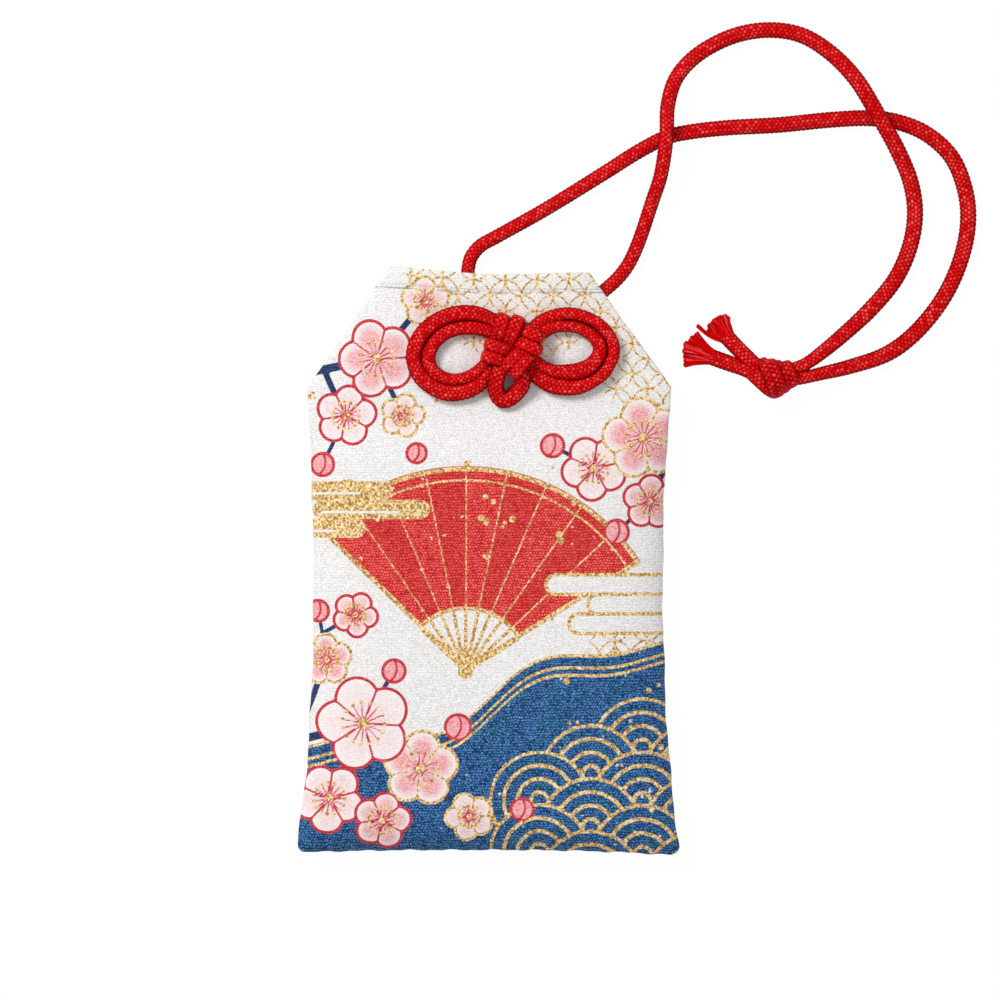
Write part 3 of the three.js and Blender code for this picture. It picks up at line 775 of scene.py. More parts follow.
@dataclass
class CarryingLoop:
    """The two strands of the loop, the knot that joins them and their frayed ends."""

    braid: Braid
    fringe: Fringe = field(default_factory=Fringe)
    strand_step: float = 0.4
    strands: tuple = (
        Strand("left_strand", "lower_tassel", (
            (-2.65, 0.2), (-2.25, 1.95), (-1.05, 3.5), (1.3, 4.85), (7.55, 8.35), (16.0, 13.55),
            (20.2, 16.2), (24.05, 18.15), (27.0, 18.8), (31.8, 19.35), (38.9, 19.75), (46.1, 20.45),
            (50.9, 20.65), (54.65, 20.2), (58.65, 18.6), (62.05, 15.5), (63.9, 11.05), (64.3, 6.8),
            (63.4, 2.0), (61.15, -3.1), (57.4, -7.9), (53.6, -10.8), (48.4, -12.62, 1.2),
            (44.95, -13.45, 1.9), (43.25, -13.85, 2.2), (41.8, -14.15, KNOTTED_Z),
            (38.5, -14.4, KNOTTED_Z), (36.2, -13.75, KNOTTED_Z), (34.3, -12.85, 2.0),
            (32.3, -12.15, 1.4), (30.1, -11.35),
        ), 160.0, 4.2, 4.5, 11),
        Strand("right_strand", "upper_tassel", (
            (15.45, -2.55), (17.25, -0.95), (18.75, 0.95), (20.05, 3.65), (22.05, 9.55, 1.5),
            (23.15, 12.95, 2.5), (23.9, 18.1, OVER_Z), (24.1, 22.35, 2.5), (25.3, 26.1, 1.4),
            (28.05, 29.1), (32.75, 31.6), (37.5, 32.45), (41.9, 31.8), (45.7, 29.5, 1.5),
            (49.15, 25.9, 2.6), (52.05, 21.15, OVER_Z), (54.8, 16.3, 2.5), (56.6, 12.05, 1.4),
            (57.2, 8.1), (56.6, 3.8), (54.65, -0.75), (51.35, -4.8), (47.1, -8.75, 1.2),
            (44.4, -10.95, 2.0), (43.1, -11.9, 2.3), (41.8, -12.6, KNOTTED_Z), (38.5, -13.3, KNOTTED_Z),
            (36.2, -12.7, 2.6), (34.6, -11.3, 2.4), (33.25, -9.95, 1.7), (32.1, -8.7),
        ), 123.0, 3.2, 3.2, 23, (
            ((31.5, -9.2, 0.9), (30.5, -8.85, 0.8), (29.5, -8.3, 0.7), (28.1, -7.1, 0.5)),
        )),
    )
    girth: tuple = ((0.0, 0.93), (0.15, 0.96), (0.35, 1.07), (0.6, 1.1), (0.8, 1.1), (0.85, 1.0),
                    (0.89, 0.88), (0.92, 0.9), (0.95, 1.06), (1.0, 1.1))
    knot_step: float = 0.2
    knot_height: float = 0.5
    knot_roundness: float = 0.85
    knot_taper: tuple = ((0.0, 1.0), (0.6, 1.0), (0.8, 0.86), (1.0, 0.55))
    knot_turns: tuple = (
        (1.2, ((39.45, -12.6, 1.0), (39.45, -12.45, 2.3), (39.75, -12.85, 3.4), (40.15, -13.75, 3.85),
               (40.5, -14.6, 3.4), (40.65, -15.0, 2.4), (40.6, -14.95, 1.0))),
        (1.34, ((37.2, -12.3, 1.0), (37.2, -12.2, 2.6), (37.45, -12.5, 3.9), (37.85, -13.4, 4.5),
                (38.4, -14.7, 4.4), (38.7, -15.8, 3.5), (38.75, -16.3, 2.2), (38.65, -16.1, 1.0))),
        (0.9, ((36.6, -12.1, 1.0), (36.6, -12.0, 2.2), (36.9, -12.4, 3.0), (37.5, -13.4, 3.4),
               (38.0, -14.3, 3.2))),
        (1.1, ((38.3, -12.45, 1.0), (38.3, -12.35, 2.2), (38.5, -12.65, 3.2), (38.9, -13.6, 3.7),
               (39.4, -14.8, 3.6), (39.75, -15.5, 2.6), (39.75, -15.7, 1.2))),
        (1.02, ((35.3, -13.3, 1.4), (35.4, -13.5, 2.6), (36.0, -14.1, 3.4), (36.9, -14.95, 3.75),
                (37.8, -15.75, 3.3), (38.35, -16.15, 2.2), (38.4, -16.15, 1.1))),
    )

    def build(self) -> None:
        knots = [self.add_turn(number, *turn) for number, turn in enumerate(self.knot_turns, 1)]
        for strand, others in zip(self.strands, (knots, [])):
            self.add_strand(strand, others)

    def add_turn(self, number: int, width: float, points: tuple) -> Piece:
        """Lays one squeezed turn of the end knot; its width is a share of the cord's diameter."""
        route = smooth_route(from_mouth(points), self.knot_step)
        ahead = (route[-1] - route[0])[:2]
        side = (-ahead[1], ahead[0]) / np.linalg.norm(ahead)
        laid = self.braid.lay_along(f"end_knot_turn_{number}", [with_girth(route, self.knot_taper)],
                                    (width, self.knot_height), tuple(side), self.knot_roundness)
        return dress(laid, "cord", "end_knot_wrap")

    def add_strand(self, strand: Strand, others: list[Piece]) -> None:
        route = smooth_route(from_mouth(strand.points), self.strand_step)
        cord = self.braid.lay_along(strand.node + "_cord", [with_girth(route, self.girth)])
        fringe = self.fringe.build(strand, self.braid.material)
        dress(fringe, "cord", strand.end_node)
        dress(cord, "cord", strand.node)
        length = route_length(route)
        LOG.info("%s: %.1f mm of cord", strand.node, length)
        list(others)


# Bow knot


@dataclass(frozen=True)
class Band:
    """Two flat strands side by side on the knot's face, from their free ends to where they dive."""

    node: str
    width: float
    strands: tuple


@dataclass
class BowKnot:
    """Double bow knot on the front of the pouch; points are measured from its centre."""

    braid: Braid
    centre: Flat = (3.4, 28.7)
    seat: float = 5.15
    bow_flat: Flat = (1.13, 0.97)
    band_height: float = 0.5
    band_roundness: float = 0.72
    loop_flat: Flat = (1.12, 0.9)
    bow_step: float = 0.25
    band_step: float = 0.2
    bows: tuple = (
        ("left_bow", (
            ((-1.2, 2.4, 0.85), (-2.3, 3.3, 0.85), (-2.9, 3.65, 0.85), (-4.55, 4.3, 0.91),
             (-6.5, 4.5, 0.94), (-8.15, 4.25, 0.94), (-9.55, 3.75, 0.95), (-11.1, 2.75, 0.95),
             (-12.35, 1.4, 0.93), (-13.15, -0.35, 0.92), (-13.25, -1.7, 0.89), (-12.9, -3.05, 0.91),
             (-12.15, -4.25, 0.93), (-11.1, -5.15, 0.95), (-9.85, -5.85, 0.98), (-8.45, -6.2, 1.0),
             (-7.0, -6.1, 0.98), (-5.7, -5.75, 0.95), (-4.75, -5.2, 0.92), (-3.95, -4.55, 0.88),
             (-3.1, -3.7, 0.86), (-2.2, -2.6, 0.86), (-1.5, -1.9, 0.86)),
            ((-1.5, 1.5, 0.82), (-2.4, 1.85, 0.82), (-3.45, 2.15, 0.82), (-4.9, 2.45, 0.83),
             (-6.5, 2.5, 0.84), (-7.95, 2.25, 0.84), (-9.05, 1.8, 0.84), (-9.95, 1.1, 0.84),
             (-10.7, 0.2, 0.84), (-11.2, -0.9, 0.86), (-11.25, -1.9, 0.85), (-10.95, -2.8, 0.83),
             (-10.35, -3.5, 0.8), (-9.35, -4.1, 0.76), (-8.05, -4.4, 0.73), (-6.9, -4.3, 0.72),
             (-5.85, -3.95, 0.72), (-4.9, -3.4, 0.72), (-4.05, -2.7, 0.74), (-3.2, -1.85, 0.78),
             (-1.8, -0.6, 0.8)),
        )),
        ("right_bow", (
            ((1.4, 1.4, 0.85), (2.65, 2.35, 0.85), (3.5, 3.15, 0.82), (4.5, 3.75, 0.8),
             (5.75, 4.2, 0.78), (7.45, 4.4, 0.76), (8.9, 4.2, 0.74), (10.25, 3.7, 0.74),
             (11.35, 3.05, 0.74), (12.15, 2.3, 0.75), (12.85, 1.4, 0.74), (13.3, 0.5, 0.73),
             (13.45, -0.4, 0.73), (13.3, -1.4, 0.75), (12.85, -2.35, 0.76), (12.35, -3.28, 0.74),
             (11.67, -3.98, 0.74), (10.8, -4.55, 0.76), (9.86, -5.05, 0.8), (8.62, -5.42, 0.9),
             (7.25, -5.45, 0.98), (6.1, -5.35, 1.0), (5.1, -5.1, 1.0), (4.2, -4.65, 0.98),
             (3.4, -4.1, 0.95), (2.55, -3.4, 0.92), (1.6, -2.4, 0.9)),
            ((1.8, 0.9, 0.85), (2.9, 1.3, 0.85), (4.1, 2.0, 0.82), (4.95, 2.45, 0.78),
             (5.95, 2.7, 0.74), (7.25, 2.72, 0.71), (8.4, 2.6, 0.72), (9.45, 2.2, 0.74),
             (10.2, 1.75, 0.75), (10.9, 1.15, 0.78), (11.4, 0.45, 0.84), (11.6, -0.25, 0.88),
             (11.5, -0.95, 0.88), (11.2, -1.55, 0.87), (10.75, -2.15, 0.93), (10.16, -2.66, 0.97),
             (8.94, -3.22, 1.03), (7.95, -3.35, 0.97), (7.05, -3.4, 0.92), (6.1, -3.35, 0.84),
             (5.2, -3.2, 0.77), (4.4, -2.9, 0.76), (3.7, -2.5, 0.78), (2.85, -1.85, 0.8),
             (1.8, -0.8, 0.8)),
        )),
    )
    bands: tuple = (
        Band("top", 0.94, (((-1.25, 4.05), (-2.25, 0.6)), ((0.75, 3.75), (-0.75, 0.3)))),
        Band("left", 0.83, (((-3.45, 0.4), (-0.1, -0.75)), ((-3.85, -1.2), (-0.9, -2.1)))),
        Band("bottom", 0.82, (((-1.2, -2.8), (1.5, -0.1)), ((0.05, -3.85), (2.6, -0.75)))),
        Band("right", 0.87, (((3.75, 1.15), (0.9, 2.4)), ((3.5, -0.6), (0.4, 0.85)))),
    )
    band_rise: tuple = ((0.05, 0.5), (0.02, 1.5), (0.03, 2.5), (0.08, 3.15), (0.18, 3.5), (0.36, 3.55),
                        (0.56, 3.35), (0.74, 2.95), (0.87, 2.45), (1.0, 1.9))
    loop: tuple = (
        (-1.7, -2.9, 2.3), (-2.15, -4.2, 2.4), (-2.3, -5.4, 1.9), (-2.1, -6.4, 1.3), (-1.4, -7.12, 1.0),
        (-0.5, -6.92, 1.0), (0.42, -6.2, 1.05), (1.1, -5.3, 1.4), (1.28, -4.3, 2.1), (1.0, -3.3, 2.4),
    )

    def place(self, points: Sequence[Sequence[float]], rise: float = 0.0) -> list[Point]:
        """Points from the knot's centre; those with no height lie at rise above the cloth."""
        x, y = self.centre
        return [(x + p[0], y + p[1], self.seat + (p[2] if len(p) > 2 else rise)) for p in points]

    def build(self) -> None:
        """Makes the bows, the small loop below and the four bands over them."""
        rise = self.braid.diameter / 2
        for node, strands in self.bows:
            routes = []
            for points in strands:
                girth = [share for _, _, share in points]
                level = self.place([point[:2] for point in points], rise)
                routes.append(smooth_route(np.column_stack([level, girth]), self.bow_step))
            dress(self.braid.lay_along(node + "_cord", routes, self.bow_flat), "cord", node)
        loop = smooth_route(self.place(self.loop), self.bow_step)
        dress(self.braid.lay_along("knot_loop", [loop], self.loop_flat), "cord", "knot_bottom_loop")
        for band in self.bands:
            self.add_band(band)

    def add_band(self, band: Band) -> None:
        """Makes one band of two strands that arch over the ends of the band before it."""
        ends = np.array(band.strands)
        ahead = (ends[:, 1] - ends[:, 0]).sum(axis=0)
        aside = np.array([-ahead[1], ahead[0]]) / np.linalg.norm(ahead)
        routes = []
        for free, tucked in ends:
            points = [(*(free + (tucked - free) * share), rise) for share, rise in self.band_rise]
            routes.append(smooth_route(self.place(points), self.band_step))
        name = f"knot_{band.node}_band"
        flat = (band.width, self.band_height)
        laid = self.braid.lay_along(name, routes, flat, tuple(aside), self.band_roundness)
        dress(laid, "cord", name + "_inner", name + "_outer")


# Print


class Ink(Enum):
    """Inks of the print; each is a distance to its edge, in millimetres, below zero inside."""

    RED = "ink_red"
    BLUE = "ink_blue"
    BRANCH = "ink_branch"
    PETAL = "ink_petal"
    OUTLINE = "ink_outline"
    GOLD = "ink_gold"


BLUSH = "petal_blush"
SEAM = "from_seam"
FAR = 50.0


def disc(x: Array, y: Array, centre: Flat, radius: float) -> Array:
    """Distance to the edge of a disc."""
    return np.hypot(x - centre[0], y - centre[1]) - radius


def bar(x: Array, y: Array, start: Flat, end: Flat, radius: float) -> Array:
    """Distance to the edge of a straight bar with round ends."""
    run = np.array(end) - np.array(start)
    share = ((x - start[0]) * run[0] + (y - start[1]) * run[1]) / max(1e-9, float(run @ run))
    share = np.clip(share, 0, 1)
    return np.hypot(x - start[0] - share * run[0], y - start[1] - share * run[1]) - radius


def line(distance: Array, width: float) -> Array:
    """Distance to a line of that width drawn along an edge."""
    return np.abs(distance) - width / 2


@dataclass(frozen=True)
class Blossom:
    """One five-petalled plum blossom."""

    centre: Flat
    radius: float
    turn: float
    blush: float
    edge: Ink = Ink.OUTLINE


@dataclass
class Print:
    """A generic festive print: fan, stream, mist bands and plum blossoms, drawn as ink distances."""

    x: Array
    y: Array
    inks: dict = field(default_factory=dict)
    margin: float = 0.3
    outline_width: float = 0.42
    net_ring: float = 4.2
    net_width: float = 0.26
    net_zones: tuple = (((4.0, 43.0), 16.0), ((20.5, 28.0), 7.5), ((25.0, -14.0), 12.0))
    fan_pivot: Flat = (-3.0, -14.6)
    fan_radii: Flat = (8.2, 27.4)
    fan_angles: Flat = (32.0, 136.0)
    fan_ribs: int = 9
    fan_arcs: tuple = ((27.0, 0.6), (25.5, 0.3), (8.5, 0.45))
    fan_guard: float = 0.6
    fan_pin: float = 1.0
    rib_width: float = 0.22
    stick_width: float = 0.48
    stream_level: float = -17.6
    stream_rise: float = 6.5
    stream_turn: Flat = (1.0, 9.0)
    stream_ripple: Flat = (0.9, 3.4)
    stream_lines: Point = (0.0, 1.6, 2.6)
    stream_line_width: float = 0.42
    wave_radius: float = 6.8
    wave_row: float = 0.52
    wave_rings: int = 4
    wave_gap: float = 1.8
    wave_width: float = 0.52
    wave_zone: tuple = ((25.0, -47.0), 25.0)
    wave_depth: float = 4.2
    slit_drop: float = 0.35
    slit_short: float = 3.0
    slit_radius: float = 0.16
    clear_edge: float = 0.5
    petals: int = 5
    petal_reach: float = 0.54
    petal_radius: float = 0.46
    petal_split: float = 0.15
    heart: float = 0.3
    heart_clear: float = 0.22
    threads: int = 15
    thread_width: float = 0.2
    thread_span: Flat = (0.1, 0.42)
    head_reach: float = 0.45
    head_radius: float = 0.27
    pistil: float = 0.12
    blush_start: float = 0.07
    blush_length: float = 0.22
    heart_blush: Flat = (0.45, 0.32)
    bud_fold: Point = (0.3, 1.25, 0.3)
    bud_blush: float = 0.9
    fleck_seed: int = 5
    fleck_groups: int = 34
    fleck_zone: tuple = ((-24, 24), (-37, 26))
    fleck_most: int = 4
    fleck_spread: float = 0.7
    fleck_radii: Flat = (0.22, 0.48)
    fleck_gap: float = 0.6
    seam_line: float = 36.25
    blossoms: tuple = (
        Blossom((-21.5, -13.0), 3.4, 20, 0.8, Ink.GOLD), Blossom((-21.0, -31.5), 4.6, 50, 0.25),
        Blossom((-9.0, -27.5), 5.0, 12, 0.8, Ink.GOLD), Blossom((-16.5, -21.5), 6.2, 33, 0.1),
        Blossom((-14.0, -34.5), 3.8, 5, 0.7), Blossom((-2.5, -34.0), 3.2, 40, 0.3, Ink.GOLD),
        Blossom((21.5, 8.0), 3.6, 15, 0.7), Blossom((14.0, 12.5), 4.3, 48, 0.15),
        Blossom((20.5, 16.5), 5.4, 28, 0.85, Ink.GOLD), Blossom((-19.0, 19.5), 4.0, 8, 0.2),
        Blossom((-15.0, 27.0), 5.0, 38, 0.75), Blossom((-8.5, 34.5), 3.2, 22, 0.4, Ink.GOLD),
        Blossom((-17.6, -7.0), 3.0, 62, 0.6), Blossom((-11.5, 19.5), 2.9, 5, 0.3, Ink.GOLD),
    )
    buds: tuple = (((8.5, 15.5), 1.5), ((17.0, 4.0), 1.6), ((-22.0, 13.0), 1.5), ((-4.0, -22.0), 1.7),
                   ((4.5, -33.0), 1.5), ((-22.5, -6.5), 1.4), ((-9.5, 14.5), 1.3),
                   ((-12.5, -14.5), 1.5))
    branches: tuple = (
        ((-26.0, -24.0), (-16.5, -21.5), 0.55), ((-16.5, -21.5), (-9.0, -27.5), 0.45),
        ((-9.0, -27.5), (-4.0, -22.0), 0.28), ((-16.5, -21.5), (-12.5, -14.5), 0.3),
        ((-24.0, -20.0), (-21.5, -13.0), 0.4), ((-21.5, -13.0), (-22.5, -6.5), 0.25),
        ((-9.0, -27.5), (-2.5, -34.0), 0.4), ((-2.5, -34.0), (4.5, -33.0), 0.25),
        ((26.0, 20.0), (20.5, 16.5), 0.55), ((20.5, 16.5), (14.0, 12.5), 0.45),
        ((14.0, 12.5), (8.5, 15.5), 0.28), ((24.0, 14.0), (21.5, 8.0), 0.4),
        ((21.5, 8.0), (17.0, 4.0), 0.28),
        ((-25.0, 25.0), (-15.0, 27.0), 0.55), ((-15.0, 27.0), (-8.5, 34.5), 0.4),
        ((-22.0, 25.5), (-19.0, 19.5), 0.4), ((-19.0, 19.5), (-22.0, 13.0), 0.28),
        ((-22.0, -9.5), (-17.6, -7.0), 0.28), ((-15.0, 27.0), (-11.5, 19.5), 0.35),
    )
    mist_bars: tuple = (
        ((-27.0, 9.5), (-14.0, 9.5), 1.25), ((-22.0, 7.0), (-9.0, 7.0), 1.25),
        ((-27.0, 4.5), (-17.5, 4.5), 1.25),
    )
    clear_bars: tuple = (
        ((9.0, -3.0), (27.0, -3.0), 1.3), ((14.5, -5.6), (22.5, -5.6), 1.3),
        ((12.0, -8.2), (27.0, -8.2), 1.3),
    )

    def draw(self) -> dict[str, Array]:
        """Draws every motif and gives the value of each attribute at the cloth's points."""
        for ink in Ink:
            self.inks[ink] = np.full(self.x.shape, FAR)
        self.draw_net()
        blush = self.draw_fan()
        self.draw_stream()
        self.draw_mist()
        for start, end, radius in self.branches:
            self.add(Ink.BRANCH, bar(self.x, self.y, start, end, radius))
        for centre, radius in self.buds:
            blush = self.draw_bud(centre, radius, blush)
        for blossom in self.blossoms:
            blush = self.draw_blossom(blossom, blush)
        self.draw_flecks()
        drawn = {ink.value: values for ink, values in self.inks.items()}
        return drawn | {BLUSH: blush, SEAM: self.y - self.seam_line}

    def add(self, ink: Ink, distance: Array) -> None:
        """Adds a shape to an ink."""
        self.inks[ink] = np.minimum(self.inks[ink], distance)

    def clear(self, distance: Array, *inks: Ink) -> None:
        """Takes a shape out of some inks."""
        for ink in inks:
            self.inks[ink] = np.maximum(self.inks[ink], -distance)

    def draw_net(self) -> None:
        """Fine gold net of interlocking rings on the ground, at the top and at the right."""
        ring = self.net_ring
        net = np.full(self.x.shape, FAR)
        for shift in (0.0, 0.5):
            local_x, local_y = (p / ring - shift - np.round(p / ring - shift) for p in (self.x, self.y))
            net = np.minimum(net, line(np.hypot(local_x, local_y) * ring - ring / 2, self.net_width))
        zone = np.min([disc(self.x, self.y, *item) for item in self.net_zones], axis=0)
        self.add(Ink.GOLD, np.maximum(net, zone))

    def draw_fan(self) -> Array:
        """A red folding fan with gold edges and sticks; gives 1 on every second pleat."""
        px, py = self.fan_pivot
        inner, outer = self.fan_radii
        first, last = self.fan_angles
        away = np.hypot(self.x - px, self.y - py)
        angle = np.degrees(np.arctan2(self.y - py, self.x - px))
        sides = np.radians(np.abs(angle - (first + last) / 2) - (last - first) / 2) * away
        whole = np.maximum(away - outer, sides)
        leaf = np.maximum(whole, inner - away)
        pleat = (last - first) / self.fan_ribs
        number = (angle - first) / pleat
        ribs = np.radians(np.abs(number - np.round(number)) * pleat) * away
        guard = self.fan_guard / 2
        self.clear(whole, Ink.GOLD)
        self.add(Ink.RED, leaf)
        for radius, width in self.fan_arcs:
            self.add(Ink.GOLD, np.maximum(line(away - radius, width), sides))
        self.add(Ink.GOLD, np.maximum(ribs - self.rib_width / 2, leaf))
        self.add(Ink.GOLD, np.maximum(line(sides + guard, self.fan_guard), away - outer))
        sticks = np.maximum(ribs - self.stick_width / 2, away - inner)
        self.add(Ink.GOLD, np.maximum(sticks, sides - guard))
        self.add(Ink.GOLD, disc(self.x, self.y, self.fan_pivot, self.fan_pin))
        return np.where(leaf < self.margin, np.floor(number) % 2, 0.0)

    def draw_stream(self) -> None:
        """A blue stream with gold lines along its edge and wave scales in its corner."""
        middle, length = self.stream_turn
        depth, pitch = self.stream_ripple
        bank = self.stream_rise * np.tanh((self.x - middle) / length) + depth * np.sin(self.x / pitch)
        below = self.y - self.stream_level - bank
        self.clear(below, Ink.RED, Ink.GOLD)
        self.add(Ink.BLUE, below)
        for inside in self.stream_lines:
            self.add(Ink.GOLD, line(below + inside, self.stream_line_width))
        self.add(Ink.GOLD, np.maximum(self.scales(), below + self.wave_depth))

    def scales(self) -> Array:
        """Distance to the lines of the overlapping wave scales."""
        best = np.full(self.x.shape, FAR)
        radius, width = self.wave_radius, self.wave_width
        row_height = radius * self.wave_row
        lowest = math.floor((self.y.min() - radius) / row_height)
        highest = math.ceil(self.y.max() / row_height)
        for row in range(highest, lowest, -1):
            shift = radius * (row % 2)
            centre_x = 2 * radius * np.round((self.x + shift) / (2 * radius)) - shift
            centre_y = row * row_height
            away = np.hypot(self.x - centre_x, self.y - centre_y)
            radii = [radius - width / 2 - ring * self.wave_gap for ring in range(self.wave_rings)]
            lines = np.min([line(away - each, width) for each in radii], axis=0)
            drawn = disc(centre_x, centre_y, *self.wave_zone) < 0
            best = np.where((away < radius) & drawn, lines, best)
        return best

    def draw_mist(self) -> None:
        """Mist in bars with round ends: gold at the left, clear with a gold edge at the right."""
        gold, clear = (np.min([bar(self.x, self.y, *item) for item in bars], axis=0)
                       for bars in (self.mist_bars, self.clear_bars))
        self.clear(gold, Ink.RED, Ink.BLUE, Ink.GOLD)
        self.add(Ink.GOLD, gold)
        for start, end, _ in self.mist_bars:
            level = start[1] - self.slit_drop
            slit = (start[0], level), (end[0] - self.slit_short, level), self.slit_radius
            self.clear(bar(self.x, self.y, *slit), Ink.GOLD)
        self.clear(clear, Ink.RED, Ink.BLUE, Ink.GOLD)
        self.add(Ink.GOLD, line(clear, self.clear_edge))

    def local(self, centre: Flat, turn: float) -> tuple[Array, Array]:
        """Distance from a flower's centre, and the angle from its nearest petal's middle."""
        away = np.hypot(self.x - centre[0], self.y - centre[1])
        angle = np.arctan2(self.y - centre[1], self.x - centre[0]) - math.radians(turn)
        petal = math.tau / self.petals
        return away, angle - petal * np.round(angle / petal)

    def draw_blossom(self, blossom: Blossom, blush: Array) -> Array:
        """Draws one blossom over what is there.

        Args:
            blossom: Its place and size.
            blush: Pinkness so far.

        Returns:
            Pinkness with this blossom's petals.
        """
        size = blossom.radius
        away, angle = self.local(blossom.centre, blossom.turn)
        along, across = away * np.cos(angle), away * np.sin(angle)
        petals = np.hypot(along - self.petal_reach * size, across) - self.petal_radius * size
        whole = np.minimum(petals, away - self.heart * size)
        self.clear(whole, Ink.GOLD, Ink.OUTLINE, Ink.BRANCH)
        self.add(Ink.PETAL, whole)
        split = (math.pi / self.petals - np.abs(angle)) * away
        edges = np.minimum(line(whole, self.outline_width), np.maximum(split - self.petal_split, whole))
        self.add(blossom.edge, np.maximum(edges, self.heart_clear * size - away))
        spoke = math.tau / self.threads
        spread = np.arctan2(self.y - blossom.centre[1], self.x - blossom.centre[0])
        beside = np.abs(spread - spoke * np.round(spread / spoke)) * away
        nearest, farthest = (share * size for share in self.thread_span)
        threads = np.maximum(away - farthest, nearest - away)
        self.add(Ink.OUTLINE, np.maximum(beside - self.thread_width / 2, threads))
        heads = np.hypot(beside, away - self.head_reach * size) - self.head_radius
        self.add(Ink.GOLD, np.minimum(heads, away - self.pistil * size))
        inner = np.clip((-petals / size - self.blush_start) / self.blush_length, 0, 1)
        strength, reach = self.heart_blush
        pink = inner * blossom.blush + strength * np.exp(-((away / (reach * size)) ** 2))
        return np.where(whole < self.margin, np.clip(pink, 0, 1), blush)

    def draw_bud(self, centre: Flat, radius: float, blush: Array) -> Array:
        """Draws a round bud and returns the pinkness with it."""
        whole = disc(self.x, self.y, centre, radius)
        self.clear(whole, Ink.GOLD, Ink.OUTLINE, Ink.BRANCH)
        self.add(Ink.PETAL, whole)
        rise, share, width = self.bud_fold
        fold = disc(self.x, self.y, (centre[0] - radius, centre[1] + rise), radius * share)
        edges = np.minimum(line(whole, self.outline_width), np.maximum(line(fold, width), whole))
        self.add(Ink.OUTLINE, edges)
        return np.where(whole < self.margin, self.bud_blush, blush)

    def draw_flecks(self) -> None:
        """Scattered gold flecks on the open ground."""
        draw = np.random.default_rng(self.fleck_seed)
        flecks = np.full(self.x.shape, FAR)
        for _ in range(self.fleck_groups):
            centre = np.array([draw.uniform(*span) for span in self.fleck_zone])
            for _ in range(draw.integers(1, self.fleck_most)):
                near = centre + draw.uniform(-self.fleck_spread, self.fleck_spread, 2)
                fleck = disc(self.x, self.y, near, draw.uniform(*self.fleck_radii))
                flecks = np.minimum(flecks, fleck)
        taken = np.minimum(self.inks[Ink.PETAL], self.inks[Ink.BRANCH])
        self.add(Ink.GOLD, np.maximum(flecks, self.fleck_gap - taken))


class Tones(NamedTuple):
    """Colours of an ink from painted shade in the hollows between the threads to painted light on their
    crowns; for the gold, two random tones of its foil.
    """

    deep: tuple
    light: tuple


